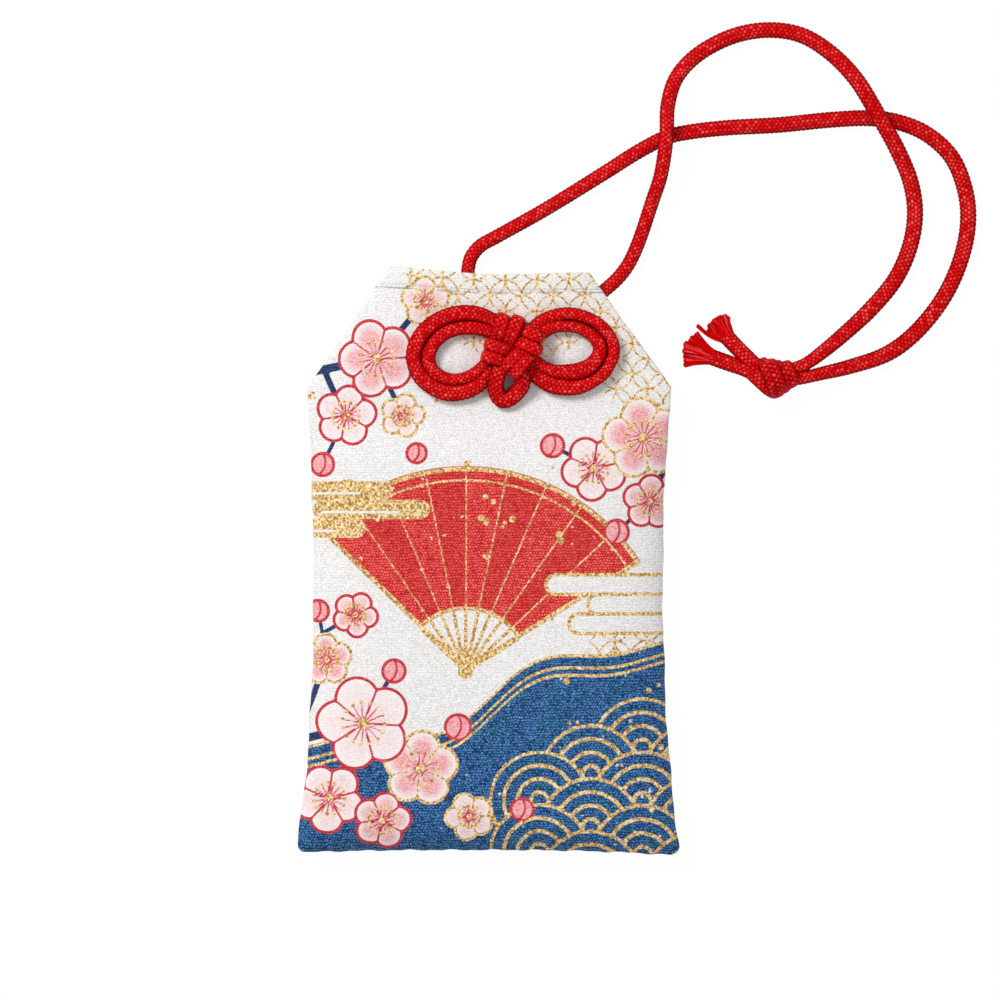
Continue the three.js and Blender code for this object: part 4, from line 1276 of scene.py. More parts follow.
@dataclass(frozen=True)
class ClothFinish:
    """Plain-woven off-white cloth, with the print in its upper threads, painted light on the threads'
    crowns and painted shade in their hollows.
    """

    float_length: float = 0.4
    row_pitch: float = 0.36
    wander: float = 0.7
    wander_scale: float = 800.0
    drift: float = 1.4
    drift_scale: float = 1100.0
    thread_low: float = 0.1
    speck_scale: float = 3400.0
    speck_share: float = 0.7
    speck_range: Flat = (0.3, 0.62)
    chance_share: float = 0.6
    lit_range: Flat = (0.02, 0.72)
    lit_share: float = 0.6
    roughness: Flat = (0.8, 0.1)
    gloss: float = 0.25
    relief_chance: float = 0.4
    relief_speck: float = 0.4
    relief_depth: float = 0.00006
    relief_strength: float = 0.5
    edge_wobble: float = 0.12
    edge_range: Flat = (-0.05, 0.06)
    bare_scale: float = 760.0
    bare_range: Flat = (0.69, 0.73)
    bare_red: float = 0.7
    bare_blue: float = 0.8
    pleat_shade: float = 0.3
    patch_scale: float = 520.0
    patch_range: Flat = (0.42, 0.62)
    grain_lit: float = 0.75
    grain_speck: float = 0.9
    soft_lit: float = 0.4
    soft_range: Flat = (0.3, 0.65)
    lump_scale: float = 3000.0
    gold_range: Flat = (0.36, 0.56)
    glint_range: Flat = (0.54, 0.68)
    glint_share: float = 0.9
    seam_drop: float = 0.18
    seam_wobble: float = 0.1
    seam_range: Flat = (0.04, 0.18)
    seam_gaps: Flat = (0.36, 0.56)
    seam_scale: float = 700.0
    seam_shade_share: float = 0.6
    ground: Tones = Tones(linear(220, 217, 213), linear(255, 255, 255))
    red: Tones = Tones(linear(186, 10, 16), linear(255, 106, 100))
    blue: Tones = Tones(linear(0, 44, 96), linear(90, 150, 212))
    teal: Tones = Tones(linear(0, 50, 92), linear(86, 156, 204))
    branch: Tones = Tones(linear(22, 40, 84), linear(58, 78, 124))
    petal: Tones = Tones(linear(240, 226, 226), linear(252, 246, 244))
    pink: Tones = Tones(linear(232, 120, 130), linear(250, 190, 192))
    outline: Tones = Tones(linear(186, 30, 46), linear(226, 84, 92))
    gold: Tones = Tones(linear(168, 124, 60), linear(240, 202, 136))
    # Colour of the painted glints on the gold.
    glint: tuple = linear(255, 240, 200)
    fleck: tuple = linear(250, 242, 236)
    # Painted shade of the groove below the hem stitches, with its needle holes.
    seam: tuple = linear(112, 102, 96)

    def material(self, name: str, printed: bool) -> Material:
        """Builds the finish.

        Args:
            name: The material's name.
            printed: True where the mesh carries the print's attributes.

        Returns:
            The material.
        """
        shader = Shader(name)
        half = shader.xyz(0.5, 0.5, 0.5)
        wander = shader.noise(shader.place, self.wander_scale).out("Color") - half
        place = shader.place + wander * (self.wander * MM)
        parts = shader.node("ShaderNodeSeparateXYZ", None, {0: place})
        up = parts.out("Y") * (1 / (self.row_pitch * MM))
        row = up.math("FLOOR")
        drift = shader.noise(place, self.drift_scale, 1.0) * self.drift
        across = parts.out("X") * (1 / (self.float_length * MM)) + row * 0.5 + drift
        column = across.math("FLOOR")
        crest, crown = ((part * math.pi).math("SINE") for part in (up - row, across - column))
        thread = crest * (self.thread_low + (1 - self.thread_low) * crown)
        bead = shader.xyz(column, row, 0.0)
        chance = shader.node("ShaderNodeTexWhiteNoise", {"noise_dimensions": "2D"}, {"Vector": bead})
        speck = shader.noise(place, self.speck_scale, 1.0)
        uneven = thread * (1 - self.chance_share + self.chance_share * chance)
        # Painted light on the threads' crowns and painted shade in their hollows, with random specks.
        lit = shader.step(uneven + (speck - 0.5) * self.speck_share, *self.lit_range)
        fine = shader.step(speck, *self.speck_range)
        tone = shader.mix(self.lit_share * lit + (1 - self.lit_share) * fine, *self.ground)
        if printed:
            tone = self.inked(shader, tone, lit, speck, place)
        relief = thread * (1 - self.relief_chance + self.relief_chance * chance)
        relief = relief + speck * self.relief_speck
        return shader.surface(
            Base_Color=tone,
            Roughness=self.roughness[0] - self.roughness[1] * lit,
            Specular_IOR_Level=self.gloss,
            Normal=shader.bump(relief, self.relief_depth, self.relief_strength),
        )

    def inked(self, shader: Shader, tone: Signal, lit: Signal, speck: Signal, place: Signal) -> Signal:
        """Lays the inks over the cloth's own tone, and painted shade along the hem's seam.

        Args:
            shader: The material under construction.
            tone: Colour of the bare cloth.
            lit: Light on the threads, from their hollows to their crowns.
            speck: Fine noise.
            place: The cloth's coordinates.

        Returns:
            The printed colour.
        """
        blush = shader.attribute(BLUSH)
        wobble = (speck - 0.5) * self.edge_wobble

        def laid(under: Signal, ink: Ink, colour: Signal) -> Signal:
            edge = shader.step(shader.attribute(ink.value) * -1.0 + wobble, *self.edge_range)
            return shader.mix(edge, under, colour)

        bare = shader.step(shader.noise(place, self.bare_scale, 3.0), *self.bare_range)
        # Each ink takes the painted light and shade of the threads under it.
        red = shader.mix(lit * (1.0 - self.pleat_shade * blush), *self.red)
        tone = laid(tone, Ink.RED, shader.mix(bare * self.bare_red, red, self.fleck))
        patch = shader.step(shader.noise(place, self.patch_scale), *self.patch_range)
        grain = lit * self.grain_lit + (speck - 0.5) * self.grain_speck
        blue = shader.mix(patch, shader.mix(grain, *self.blue), shader.mix(grain, *self.teal))
        tone = laid(tone, Ink.BLUE, shader.mix(bare * self.bare_blue, blue, self.fleck))
        tone = laid(tone, Ink.BRANCH, shader.mix(lit, *self.branch))
        fine = shader.step(speck, *self.soft_range)
        soft = self.soft_lit * lit + (1 - self.soft_lit) * fine
        petal = shader.mix(blush, shader.mix(soft, *self.petal), shader.mix(soft, *self.pink))
        tone = laid(tone, Ink.PETAL, petal)
        tone = laid(tone, Ink.OUTLINE, shader.mix(lit, *self.outline))
        lumps = shader.noise(place, self.lump_scale, 1.0)
        gold = shader.mix(shader.step(lumps, *self.gold_range), *self.gold)
        # Painted glints of light on the gold foil, over its random tones.
        gold = shader.mix(shader.step(lumps, *self.glint_range) * self.glint_share, gold, self.glint)
        tone = laid(tone, Ink.GOLD, gold)
        # A dark dashed line just below the hem stitches: painted shade in the sewn groove, with the
        # needle holes.
        away = (shader.attribute(SEAM) + self.seam_drop).math("ABSOLUTE")
        away = away + (speck - 0.5) * self.seam_wobble
        gaps = shader.step(shader.noise(place, self.seam_scale), *self.seam_gaps)
        seam_shade_mask = (1.0 - shader.step(away, *self.seam_range)) * gaps
        return shader.mix(seam_shade_mask * self.seam_shade_share, tone, self.seam)


# Contents


@dataclass(frozen=True)
class FibreFinish:
    """Plain card, paper or wood: matt fibres in two tones, drawn out along the pouch."""

    name: str
    deep: tuple
    light: tuple
    scale: float
    stretch: float
    roughness: float = 0.85
    roughness_spread: float = 0.1
    tone_range: Flat = (0.32, 0.68)
    gloss: float = 0.25
    relief_depth: float = 0.00005
    relief_strength: float = 0.4

    def material(self) -> Material:
        """Builds the finish."""
        shader = Shader(self.name)
        drawn = shader.place.vector("MULTIPLY", (1.0, 1.0 / self.stretch, 1.0))
        fibre = shader.noise(drawn, self.scale, 4.0)
        tone = shader.mix(shader.step(fibre, *self.tone_range), self.deep, self.light)
        return shader.surface(
            Base_Color=tone,
            Roughness=self.roughness - fibre * self.roughness_spread,
            Specular_IOR_Level=self.gloss,
            Normal=shader.bump(fibre, self.relief_depth, self.relief_strength),
        )


CONTENTS: dict[str, FibreFinish] = {
    "stiffener_card": FibreFinish("grey_card", linear(176, 160, 134), linear(208, 194, 168),
                                  2400.0, 2.0),
    "paper_sleeve": FibreFinish("soft_paper", linear(236, 230, 214), linear(252, 248, 238),
                                900.0, 3.0),
    "wooden_tablet": FibreFinish("planed_wood", linear(196, 158, 104), linear(230, 198, 146),
                                 700.0, 18.0, 0.6),
}


def finish_contents() -> None:
    """Gives the card, the paper sleeve and the tablet, which stay as modelled, their finishes."""
    for node, finish in CONTENTS.items():
        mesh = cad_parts[node].data
        mesh.materials.clear()
        mesh.materials.append(finish.material())


# Pouch


def eased(value: Array, start: float, length: float) -> Array:
    """A share that rises from 0 to 1 over a length, smooth at both ends."""
    share = np.clip((value - start) / length, 0, 1)
    return share**2 * (3 - 2 * share)


def ripple(place: Array, waves: Sequence[Point]) -> Array:
    """Sum of sine waves, each given by its height, its turn per millimetre and its start."""
    return sum(height * np.sin(place * turn + start) for height, turn, start in waves)


class Side(Enum):
    """Sides of the pouch, as signs of x."""

    LEFT = -1
    RIGHT = 1


def carry(mesh: bpy.types.Mesh, values: dict[str, Array]) -> None:
    """Stores numbers on a mesh's points under their names."""
    for name, numbers in values.items():
        stored = mesh.attributes.new(name, "FLOAT", "POINT")
        stored.data.foreach_set("value", numbers.astype(np.float32))


def grid_quads(index: Array) -> Array:
    """The quads of a grid of point numbers, counter-clockwise where rows run up."""
    corners = (index[:-1, :-1], index[:-1, 1:], index[1:, 1:], index[1:, :-1])
    return np.stack(corners, axis=-1).reshape(-1, 4)


def grid_rim(index: Array) -> Array:
    """The point numbers round a grid, counter-clockwise, with the first one again at the end."""
    return np.r_[index[0, :-1], index[:-1, -1], index[-1, :0:-1], index[:0:-1, 0], index[0, 0]]


def shell_mesh(name: str, outer: Array, inner: Array, stride: int, upward: bool) -> bpy.types.Mesh:
    """A closed sheet between two grids of points, of which the inner one may be coarser.

    Args:
        name: The mesh's name.
        outer: Points in millimetres, by row and column.
        inner: Points of the other side, one for every stride of the outer ones.
        stride: Outer spaces to one inner space.
        upward: True if the outer side looks up where rows run up and columns run right.

    Returns:
        The mesh, shaded smooth.
    """
    above = np.arange(outer[..., 0].size).reshape(outer.shape[:2])
    below = above.size + np.arange(inner[..., 0].size).reshape(inner.shape[:2])
    quads = np.vstack([grid_quads(above), grid_quads(below)[:, ::-1]])
    fine, coarse = grid_rim(above), grid_rim(below)
    middle = stride // 2
    wall = []
    for block, (here, there) in enumerate(zip(coarse, coarse[1:])):
        run = fine[block * stride:(block + 1) * stride + 1]
        wall += [(a, here, b) for a, b in zip(run[:middle], run[1:middle + 1])]
        wall.append((run[middle], here, there))
        wall += [(a, there, b) for a, b in zip(run[middle:-1], run[middle + 1:])]
    triangles = np.array(wall)
    if not upward:
        quads, triangles = quads[:, ::-1], triangles[:, ::-1]
    mesh = bpy.data.meshes.new(name)
    points = np.vstack([outer.reshape(-1, 3), inner.reshape(-1, 3)]) * MM
    mesh.vertices.add(len(points))
    mesh.vertices.foreach_set("co", points.astype(np.float32).ravel())
    mesh.loops.add(quads.size + triangles.size)
    mesh.loops.foreach_set("vertex_index", np.r_[quads.ravel(), triangles.ravel()])
    mesh.polygons.add(len(quads) + len(triangles))
    starts = np.r_[np.arange(0, quads.size, 4), quads.size + np.arange(0, triangles.size, 3)]
    mesh.polygons.foreach_set("loop_start", starts)
    mesh.update(calc_edges=True)
    mesh.shade_smooth()
    return mesh


@dataclass
class Slack:
    """Unevenness of the stuffed front, from a cloth simulation of a coarse sheet at a larger scale."""

    pouch: "Pouch"
    columns: int = 56
    rows: int = 84
    scale: float = 0.02
    frames: int = 24
    surplus: float = 0.015
    most: float = 0.38
    settings: tuple = (
        ("quality", 5), ("mass", 0.3), ("tension_stiffness", 15), ("compression_stiffness", 15),
        ("shear_stiffness", 5), ("bending_stiffness", 0.4), ("vertex_group_mass", "held"),
        ("use_pressure", True), ("uniform_pressure_force", 0.4),
    )

    def settle(self, x: Array, y: Array) -> Array:
        """Runs the simulation and reads it at points.

        Args:
            x: Places across, in millimetres.
            y: Places up, in millimetres.

        Returns:
            Height to add at each point; none where the scene is only quickly checked.
        """
        half = self.pouch.height / 2
        across, up = np.linspace(-1, 1, self.columns + 1), np.linspace(-half, half, self.rows + 1)
        grid_y = np.repeat(up[:, None], self.columns + 1, axis=1)
        grid_x = across[None, :] * self.pouch.half_width(grid_y)
        rest = np.stack([grid_x, grid_y, self.pouch.front(grid_x, grid_y)], axis=-1)
        lift = self.simulate(rest)[..., 2] - rest[..., 2]
        lift *= self.most / max(1e-6, np.abs(lift).max())
        return self.read(lift, across, up, x / self.pouch.half_width(y), y)

    def simulate(self, rest: Array) -> Array:
        """Lets a slightly larger sheet, held at its edges, buckle a little.

        Args:
            rest: The sheet's points, by row and column.

        Returns:
            The points after the last frame.
        """
        index = np.arange(rest[..., 0].size).reshape(rest.shape[:2])
        mesh = bpy.data.meshes.new("slack")
        mesh.from_pydata((rest.reshape(-1, 3) * self.scale).tolist(), [], grid_quads(index).tolist())
        sheet = link("slack", mesh)
        scene = bpy.context.scene
        held = sheet.vertex_groups.new(name="held")
        held.add(np.unique(grid_rim(index)).tolist(), 1.0, "REPLACE")
        cloth = sheet.modifiers.new("cloth", "CLOTH")
        for name, value in self.settings:
            setattr(cloth.settings, name, value)
        cloth.settings.shrink_min = -self.surplus
        cloth.settings.effector_weights.gravity = 0.0
        cloth.point_cache.frame_end = self.frames
        for frame_number in range(1, self.frames + 1):
            scene.frame_set(frame_number)
        done = sheet.evaluated_get(bpy.context.evaluated_depsgraph_get()).to_mesh()
        points = np.empty(rest.size)
        done.vertices.foreach_get("co", points)
        scene.frame_set(1)
        bpy.data.objects.remove(sheet)
        bpy.data.meshes.remove(mesh)
        return points.reshape(rest.shape) / self.scale

    @staticmethod
    def read(values: Array, across: Array, up: Array, x: Array, y: Array) -> Array:
        """Reads a grid of values at points, smoothly.

        Args:
            values: Values by row and column.
            across: Places of the columns.
            up: Places of the rows.
            x: Points' places across.
            y: Points' places up.

        Returns:
            A value at each point.
        """
        last_row, last_column = len(up) - 1, len(across) - 1
        column = np.clip((x - across[0]) / (across[1] - across[0]), 0, last_column)
        row = np.clip((y - up[0]) / (up[1] - up[0]), 0, last_row)
        total = np.zeros_like(x)
        for row_step in range(-1, 3):
            row_at = np.floor(row).astype(int) + row_step
            row_weight = spline_weight(row - row_at)
            for column_step in range(-1, 3):
                column_at = np.floor(column).astype(int) + column_step
                weight = row_weight * spline_weight(column - column_at)
                near = values[np.clip(row_at, 0, last_row), np.clip(column_at, 0, last_column)]
                total += weight * near
        return total


def spline_weight(distance: Array) -> Array:
    """Weight of a grid point in a cubic B-spline, by its distance in grid steps."""
    far = np.clip(2 - np.abs(distance), 0, None) ** 3
    near = np.clip(1 - np.abs(distance), 0, None) ** 3
    return (far - 4 * near) / 6


@dataclass
class Pouch:
    """The cloth pouch: front and back, hems, linings and the corners folded behind.

    What eases in over some rows has a pair of values for them, their start and their length.
    """

    bottom_width: float = 50.4
    waist_width: float = 46.4
    shoulder_width: float = 48.4
    mouth_width: float = 26.6
    shoulder_drop: float = 15.4
    waist_rise: float = 35.7
    corner_radius: float = 1.4
    height: float = 77.4
    layer_gap: float = 0.3
    lining_inset: float = 2.6
    lining_drop: float = 0.6
    lining_pitch: float = 0.3
    lining_levels: Flat = (0.74, 0.92)
    hem_depth: float = 3.2
    hem_drop: float = 0.12
    hem_inset: float = 0.8
    hem_levels: Flat = (0.42, 0.7)
    hem_rise: float = 0.12
    hem_rows: Flat = (-0.1, 0.5)
    groove_depth: float = 0.14
    groove_width: float = 0.2
    layer_steps: int = 60
    edge_round: float = 6.0
    front_powers: Point = (6.0, 2.5, 0.6)
    back_sides: Flat = (2.2, 8.0)
    back_foot: Flat = (2.0, 3.0)
    cloth_edge: float = 0.12
    cloth_more: float = 0.2
    cloth_powers: Flat = (6.0, 3.0)
    bend: Flat = (12.1, 21.1)
    body_levels: Flat = (0.0, 6.6)
    mouth_levels: Flat = (2.95, 5.15)
    seam_shade_share: float = 0.45
    mouth_slant: float = 0.4
    mouth_sag: float = 0.3
    sag_width: float = 14.0
    side_ripples: tuple = ((0.1, 0.45, 1.2), (0.05, 1.3, 0.0))
    stretch: float = 1.005
    shift: float = 0.1
    lean: float = 0.2
    lean_rows: Flat = (14.0, 8.0)
    flare: float = 0.35
    flare_rows: Flat = (-23.0, 15.0)
    columns: int = 244
    rows: int = 360
    under_stride: int = 4
    back_columns: int = 112
    back_rows: int = 160
    back_lip: float = 0.15
    edge_crowding: float = 0.35
    foot_rows: tuple = (0.0, 0.05, 0.12, 0.22, 0.36, 0.55, 0.8, 1.1)
    roll_rows: tuple = ((-0.42, 0.0), (-0.26, -0.03), (-0.12, -0.1), (-0.03, -0.21), (0.0, -0.34))
    foot_lift: float = 0.38
    foot_reach: float = 5.0
    foot_ripples: tuple = ((0.06, 1.1, 0.7), (0.05, 2.3, 0.0))
    foot_droop: Flat = (0.15, 0.4)
    tuck_span: Flat = (0.02, 0.98)
    tuck_columns: int = 49
    tuck_fold: tuple = (0.0, 0.015, 0.04, 0.08)
    tuck_rows: tuple = (0.12, 0.97, 30)
    tuck_turn: float = 1.1
    tuck_gap: float = 0.42
    tuck_cloth: float = 0.3
    tuck_ripples: tuple = ((0.05, 0.9, 0.0),)
    hem_line: float = 2.45
    stitch_pitch: float = 2.1
    stitch_length: float = 1.7
    stitch_thread: float = 0.26
    stitch_inset: float = 0.9
    stitch_lift: float = 0.02
    leg_top: float = 6.4
    leg_turn: float = 0.3
    leg_lift: float = 0.68
    leg_step: float = 0.25
    leg_flat: Flat = (0.9, 1.0)
    leg_holes: tuple = ((2.45, 31.05), (4.7, 31.05))
    legs: tuple = (
        ("left_cord_leg", ((1.0, -6.3), (-1.1, -4.2), (-2.4, -2.0), (-2.65, 0.25))),
        ("right_cord_leg", ((6.6, -7.5), (9.6, -7.0), (12.6, -5.2), (15.5, -2.5))),
    )

    def half_width(self, y: Array) -> Array:
        """Half the pouch's width at a height."""
        shoulder, waist, bottom = self.shoulder_line(), self.waist_line(), -self.height / 2
        slope = np.interp(y, [shoulder, self.height / 2], [self.shoulder_width, self.mouth_width])
        above = y > waist
        widest = np.where(above, self.shoulder_width, self.bottom_width)
        widen = ((y - waist) / np.where(above, shoulder - waist, self.waist_rise)) ** 2
        sides = self.waist_width + (widest - self.waist_width) * widen
        corner = np.clip(self.corner_radius - (y - bottom), 0, self.corner_radius)
        inset = self.corner_radius - np.sqrt(self.corner_radius**2 - corner**2)
        return np.where(y > shoulder, slope, sides) / 2 - inset

    def shoulder_line(self) -> float:
        """Height of the shoulders."""
        return self.height / 2 - self.shoulder_drop

    def waist_line(self) -> float:
        """Height of the narrowest place."""
        return self.waist_rise - self.height / 2

    def level(self, y: Array, body: float, mouth: float) -> Array:
        """A height that passes from the body's to the mouth's over the bend."""
        return body + (mouth - body) * eased(y, self.bend[0], self.bend[1] - self.bend[0])

    def seam(self, y: Array) -> Array:
        """Height of the side seam."""
        return self.level(y, self.seam_shade_share * self.body_levels[1], sum(self.mouth_levels) / 2)

    def shares(self, x: Array, y: Array) -> tuple[Array, Array]:
        """How far a point lies across the pouch, and up from its bottom edge."""
        across = np.clip(np.abs(x) / self.half_width(y), 0, 1)
        up = np.clip((y + self.height / 2) / self.edge_round, 0, 1)
        return across, up

    def front(self, x: Array, y: Array) -> Array:
        """Height of the front's outer face."""
        across, up = self.shares(x, y)
        sides, foot, whole = self.front_powers
        full = ((1 - across**sides) * (1 - (1 - up) ** foot)) ** whole
        edge = self.seam(y) + self.layer_gap / 2
        return edge + (self.level(y, self.body_levels[1], self.mouth_levels[1]) - edge) * full

    def back(self, x: Array, y: Array) -> Array:
        """Height of the back's outer face."""
        across, up = self.shares(x, y)
        (side_share, side), (foot_share, foot) = self.back_sides, self.back_foot
        full = np.minimum(1, side_share * (1 - across**side))
        full = full * np.minimum(1, foot_share * (1 - (1 - up) ** foot))
        edge = self.seam(y) - self.layer_gap / 2
        return edge + (self.level(y, self.body_levels[0], self.mouth_levels[0]) - edge) * full

    def thickness(self, x: Array, y: Array) -> Array:
        """Thickness of the front's and the back's cloth, less at its edges."""
        across, up = self.shares(x, y)
        sides, foot = self.cloth_powers
        return self.cloth_edge + self.cloth_more * (1 - across**sides) * (1 - (1 - up) ** foot)

    def flat_grid(self, heights: Array, columns: int, inset: float = 0.0) -> tuple[Array, Array]:
        """Points over the pouch's outline, a little closer together at the sides.

        Args:
            heights: Height of each row.
            columns: Spaces between the points of a row.
            inset: Distance from the outline's sides.

        Returns:
            The points' places across and up, by row and column.
        """
        across = np.linspace(-1, 1, columns + 1)
        across = (1 + self.edge_crowding / 2) * across - self.edge_crowding / 2 * across**3
        y = np.repeat(np.asarray(heights)[:, None], columns + 1, axis=1)
        return across[None, :] * (self.half_width(y) - inset), y

    def lie(self, x: Array, y: Array) -> tuple[Array, Array]:
        """Moves points to where the cloth lies: a slanting mouth, a lifted foot and uneven sides."""
        near_mouth = np.clip((y - self.shoulder_line()) / self.shoulder_drop, 0, 1)
        near_foot = np.exp(-(y + self.height / 2) / self.foot_reach)
        share = x / (self.bottom_width / 2)
        droop = self.foot_droop[0] + self.foot_droop[1] * np.clip(share, 0, 1) ** 2
        lift = self.foot_lift * (1 - np.abs(share) ** 3) + ripple(x, self.foot_ripples)
        sway = np.abs(share) ** 3 * ripple(y, self.side_ripples)
        lean = self.lean * eased(y, *self.lean_rows)
        low = np.clip((self.flare_rows[0] - y) / self.flare_rows[1], 0, 1)
        laid_x = self.stretch * x + self.shift + sway + lean + self.flare * low**2 * share**3
        slant = near_mouth * self.mouth_slant * x / (self.mouth_width / 2)
        sag = near_mouth**2 * self.mouth_sag * np.cos(math.pi * x / self.sag_width)
        return laid_x, y - slant - sag + near_foot * (lift - droop)

    def laid(self, x: Array, y: Array, z: Array) -> Array:
        """Points of the cloth as it lies, at given heights."""
        return np.stack([*self.lie(x, y), z], axis=-1)

    def rows_up(self, rows: int) -> Array:
        """Heights of a face's rows, from close ones at the foot to the start of the mouth's roll."""
        foot = -self.height / 2 + np.array(self.foot_rows)
        top = self.height / 2 + self.roll_rows[0][0]
        between = rows - len(self.foot_rows) - len(self.roll_rows) + 1
        return np.r_[foot, np.linspace(foot[-1], top, between + 2)[1:-1]]

    def hemmed(self, y: Array) -> Array:
        """Height that the hem adds: a doubled edge, and a groove where it is sewn."""
        above = y - (self.height / 2 - self.hem_line)
        groove = self.groove_depth * np.exp(-((above / self.groove_width) ** 2))
        return self.hem_rise * eased(above, *self.hem_rows) - groove

    def build(self, braid: Braid) -> None:
        """Makes the pouch's cloth pieces, its stitches and the legs of the cord behind it."""
        printed = ClothFinish().material("printed_cloth", True)
        plain = ClothFinish().material("plain_cloth", False)
        lining = ClothFinish(row_pitch=self.lining_pitch).material("lining_cloth", False)
        front = self.add_front(printed)
        back = self.add_back(plain)
        half = self.height / 2
        rows = (half - self.hem_depth, half - self.hem_drop)
        names = (("front_hem", "mouth_hem_front"), ("back_hem", "mouth_hem_back"))
        hems = self.add_layers(names, "printed_cloth", rows, self.hem_inset, self.hem_levels, plain)
        tucks = [self.add_tuck(side, printed) for side in Side]
        stitches = self.add_stitches(plain)
        rows = (self.lining_inset - half, half - self.lining_drop)
        names = (("front_lining_cloth", "front_lining"), ("back_lining_cloth", "back_lining"))
        linings = self.add_layers(names, "lining", rows, self.lining_inset, self.lining_levels, lining)
        self.add_legs(braid)

    def add_front(self, material: Material) -> Piece:
        """Makes the printed front, fine above and coarser on its hidden side."""
        heights = self.rows_up(self.rows)
        roll = [self.height / 2 + step for step, _ in self.roll_rows]
        sink = np.r_[np.zeros(len(heights)), [drop for _, drop in self.roll_rows]]
        x, y = self.flat_grid(np.r_[heights, roll], self.columns)
        z = self.front(x, y) + self.hemmed(y) + sink[:, None]
        grid = self.laid(x, y, z + Slack(self).settle(x, y))
        step = self.under_stride
        under = grid[::step, ::step].copy()
        under[..., 2] -= self.thickness(x, y)[::step, ::step]
        mesh = shell_mesh("front_panel", grid, under, step, True)

        def both(values: Array) -> Array:
            return np.r_[values, values.reshape(x.shape)[::step, ::step].ravel()]

        drawn = Print(x.ravel(), y.ravel()).draw()
        carry(mesh, {name: both(values) for name, values in drawn.items()})
        return dress(link("front_panel", mesh, material), "printed_cloth", "front_cloth")

    def add_back(self, material: Material) -> Piece:
        """Makes the plain back."""
        lip = [self.height / 2 - self.back_lip, self.height / 2]
        x, y = self.flat_grid(np.r_[self.rows_up(self.back_rows), lip], self.back_columns)
        grid = self.laid(x, y, self.back(x, y) - self.hemmed(y))
        over = grid.copy()
        over[..., 2] += self.thickness(x, y)
        mesh = shell_mesh("back_panel", grid, over, 1, False)
        return dress(link("back_panel", mesh, material), "printed_cloth", "back_cloth")

    def add_layers(self, names: Sequence[tuple[str, str]], slot: str, rows: Flat, inset: float,
                   levels: Flat, material: Material) -> list[Piece]:
        """Makes a layer of cloth inside the front, and another inside the back.

        Args:
            names: Name of each layer and of the CAD node that it stands for, the front's first.
            slot: The layers' slot; not used.
            rows: Their lowest and highest places.
            inset: Their distance from the pouch's sides.
            levels: Depths of their two sides under the pouch's outer face.
            material: Their finish.

        Returns:
            The two layers.
        """
        x, y = self.flat_grid(np.linspace(*rows, self.layer_steps), self.layer_steps, inset)
        made = []
        for (name, node), face, inward in zip(names, (self.front, self.back), (-1, 1)):
            sides = [self.laid(x, y, face(x, y) + inward * level) for level in levels]
            mesh = shell_mesh(name, *sides, 1, inward < 0)
            made.append(dress(link(name, mesh, material), slot, node))
        return made

    def add_tuck(self, side: Side, material: Material) -> Piece:
        """Makes one upper corner, folded over the shoulder to the back.

        Args:
            side: Left or right.
            material: The printed cloth's finish.

        Returns:
            The piece.
        """
        shoulder = np.array([self.shoulder_width / 2, self.shoulder_line()])
        mouth = np.array([self.mouth_width / 2, self.height / 2])
        corner = np.array([shoulder[0], mouth[1]])
        fold = (mouth - shoulder) / np.linalg.norm(mouth - shoulder)
        foot = shoulder + fold * ((corner - shoulder) @ fold)
        tip = 2 * foot - corner
        along = np.linspace(*self.tuck_span, self.tuck_columns)[None, :, None]
        inward = np.r_[self.tuck_fold, np.linspace(*self.tuck_rows)][:, None, None]
        start = shoulder + (mouth - shoulder) * along
        place = start + (tip - start) * inward
        unfolded = start + (corner - start) * inward
        x, y = place[..., 0] * side.value, place[..., 1]
        away = np.linalg.norm(place - start, axis=-1)
        turned = np.clip(away / self.tuck_turn, 0, 1)
        rest = self.back(np.zeros_like(y), y) - self.tuck_gap + ripple(x, self.tuck_ripples) * turned
        rise = self.seam(y) - self.tuck_cloth - rest
        z = rest + rise * (1 - np.sqrt(1 - (1 - turned) ** 2))
        grid = self.laid(x, y, z)
        flat_x, flat_y = unfolded[..., 0] * side.value, unfolded[..., 1]
        if side is Side.LEFT:
            grid, flat_x, flat_y = grid[:, ::-1], flat_x[:, ::-1], flat_y[:, ::-1]
        over = grid.copy()
        over[..., 2] += self.tuck_cloth
        node = side.name.lower() + "_corner_tuck"
        mesh = shell_mesh(node + "_cloth", grid, over, 1, False)
        carried = Print(flat_x.ravel(), flat_y.ravel()).draw()
        carry(mesh, {name: np.r_[values, values] for name, values in carried.items()})
        return dress(link(node + "_cloth", mesh, material), "printed_cloth", node)

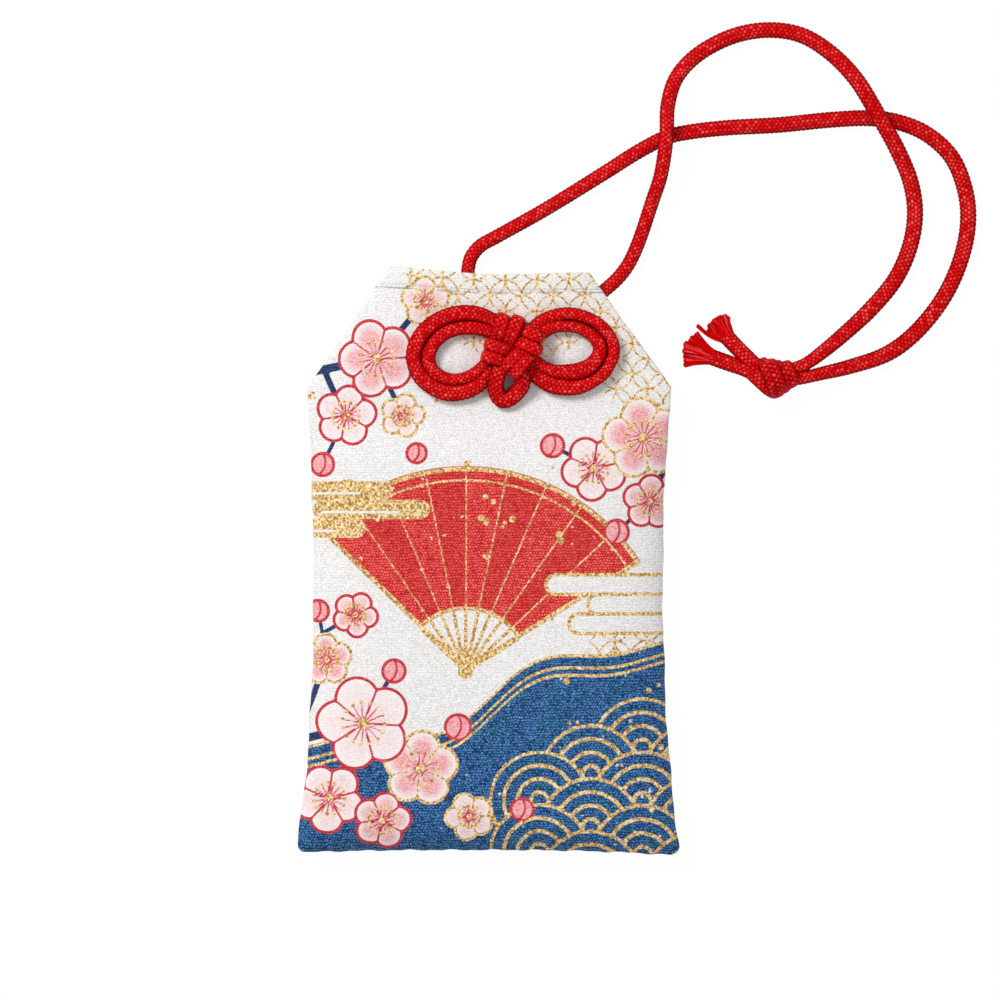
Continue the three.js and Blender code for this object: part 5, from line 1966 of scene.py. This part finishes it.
    def add_stitches(self, material: Material) -> list[Piece]:
        """Sews the hems with one row of stitches in front and one behind."""
        sizes = {
            "Pitch": self.stitch_pitch * MM,
            "Length": self.stitch_length * MM,
            "Thread": self.stitch_thread * MM,
        }
        inputs = {name: Socket.LENGTH for name in sizes}
        make = Maker("stitches", {**inputs, "Material": Socket.MATERIAL})
        values = {"Curve": make.given("Geometry"), "Length": make.given("Pitch")}
        even = make.node("GeometryNodeResampleCurve", {"mode": "LENGTH"}, values)
        ball = make.node("GeometryNodeMeshUVSphere", None, {"Segments": 10, "Rings": 8, "Radius": 0.5})
        thread = make.given("Thread")
        scale = make.xyz(make.given("Length"), thread, thread)
        stitch = make.node("GeometryNodeTransform", None, {"Geometry": ball, "Scale": scale})
        tangent = make.node("GeometryNodeInputTangent")
        turn = make.node("FunctionNodeAlignRotationToVector", {"axis": "X"}, {"Vector": tangent})
        values = {"Points": even, "Instance": stitch, "Rotation": turn}
        make.end(make.node("GeometryNodeInstanceOnPoints", None, values))
        made = []
        rows = (("front_stitches", self.front, 1.0), ("back_stitches", self.back, -1.0))
        for name, face, away in rows:
            y = np.full(self.layer_steps, self.height / 2 - self.hem_line)
            x = np.linspace(-1, 1, self.layer_steps) * (self.half_width(y) - self.stitch_inset)
            z = face(x, y) + away * (self.hemmed(y) + self.stitch_lift)
            row = make.mesh(name, [self.laid(x, y, z)], {**sizes, "Material": material})
            made.append(dress(row, "printed_cloth"))
        return made

    def add_legs(self, braid: Braid) -> None:
        """Leads the cord from the knot through the pouch and up behind it to the mouth."""
        for (node, points), (x, y) in zip(self.legs, self.leg_holes):
            first = from_mouth(points[:1])[0]
            turn = (x + self.leg_turn * (first[0] - x), y + self.leg_turn * (first[1] - y),
                    LOOSE_Z + self.leg_lift)
            through = [(x, y, z) for z in (self.leg_top, *self.mouth_levels[::-1])]
            route = smooth_route([*through, turn, *from_mouth(points)], self.leg_step)
            dress(braid.lay_along(node + "_cord", [route], self.leg_flat), "cord", node)


def main() -> None:
    """Builds the studio and the charm's sub-assemblies in order."""
    logging.basicConfig(level=logging.INFO)
    Studio().build()
    braid = Braid()
    CarryingLoop(braid).build()
    BowKnot(braid).build()
    Pouch().build(braid)
    finish_contents()


if __name__ == "__main__":
    main()
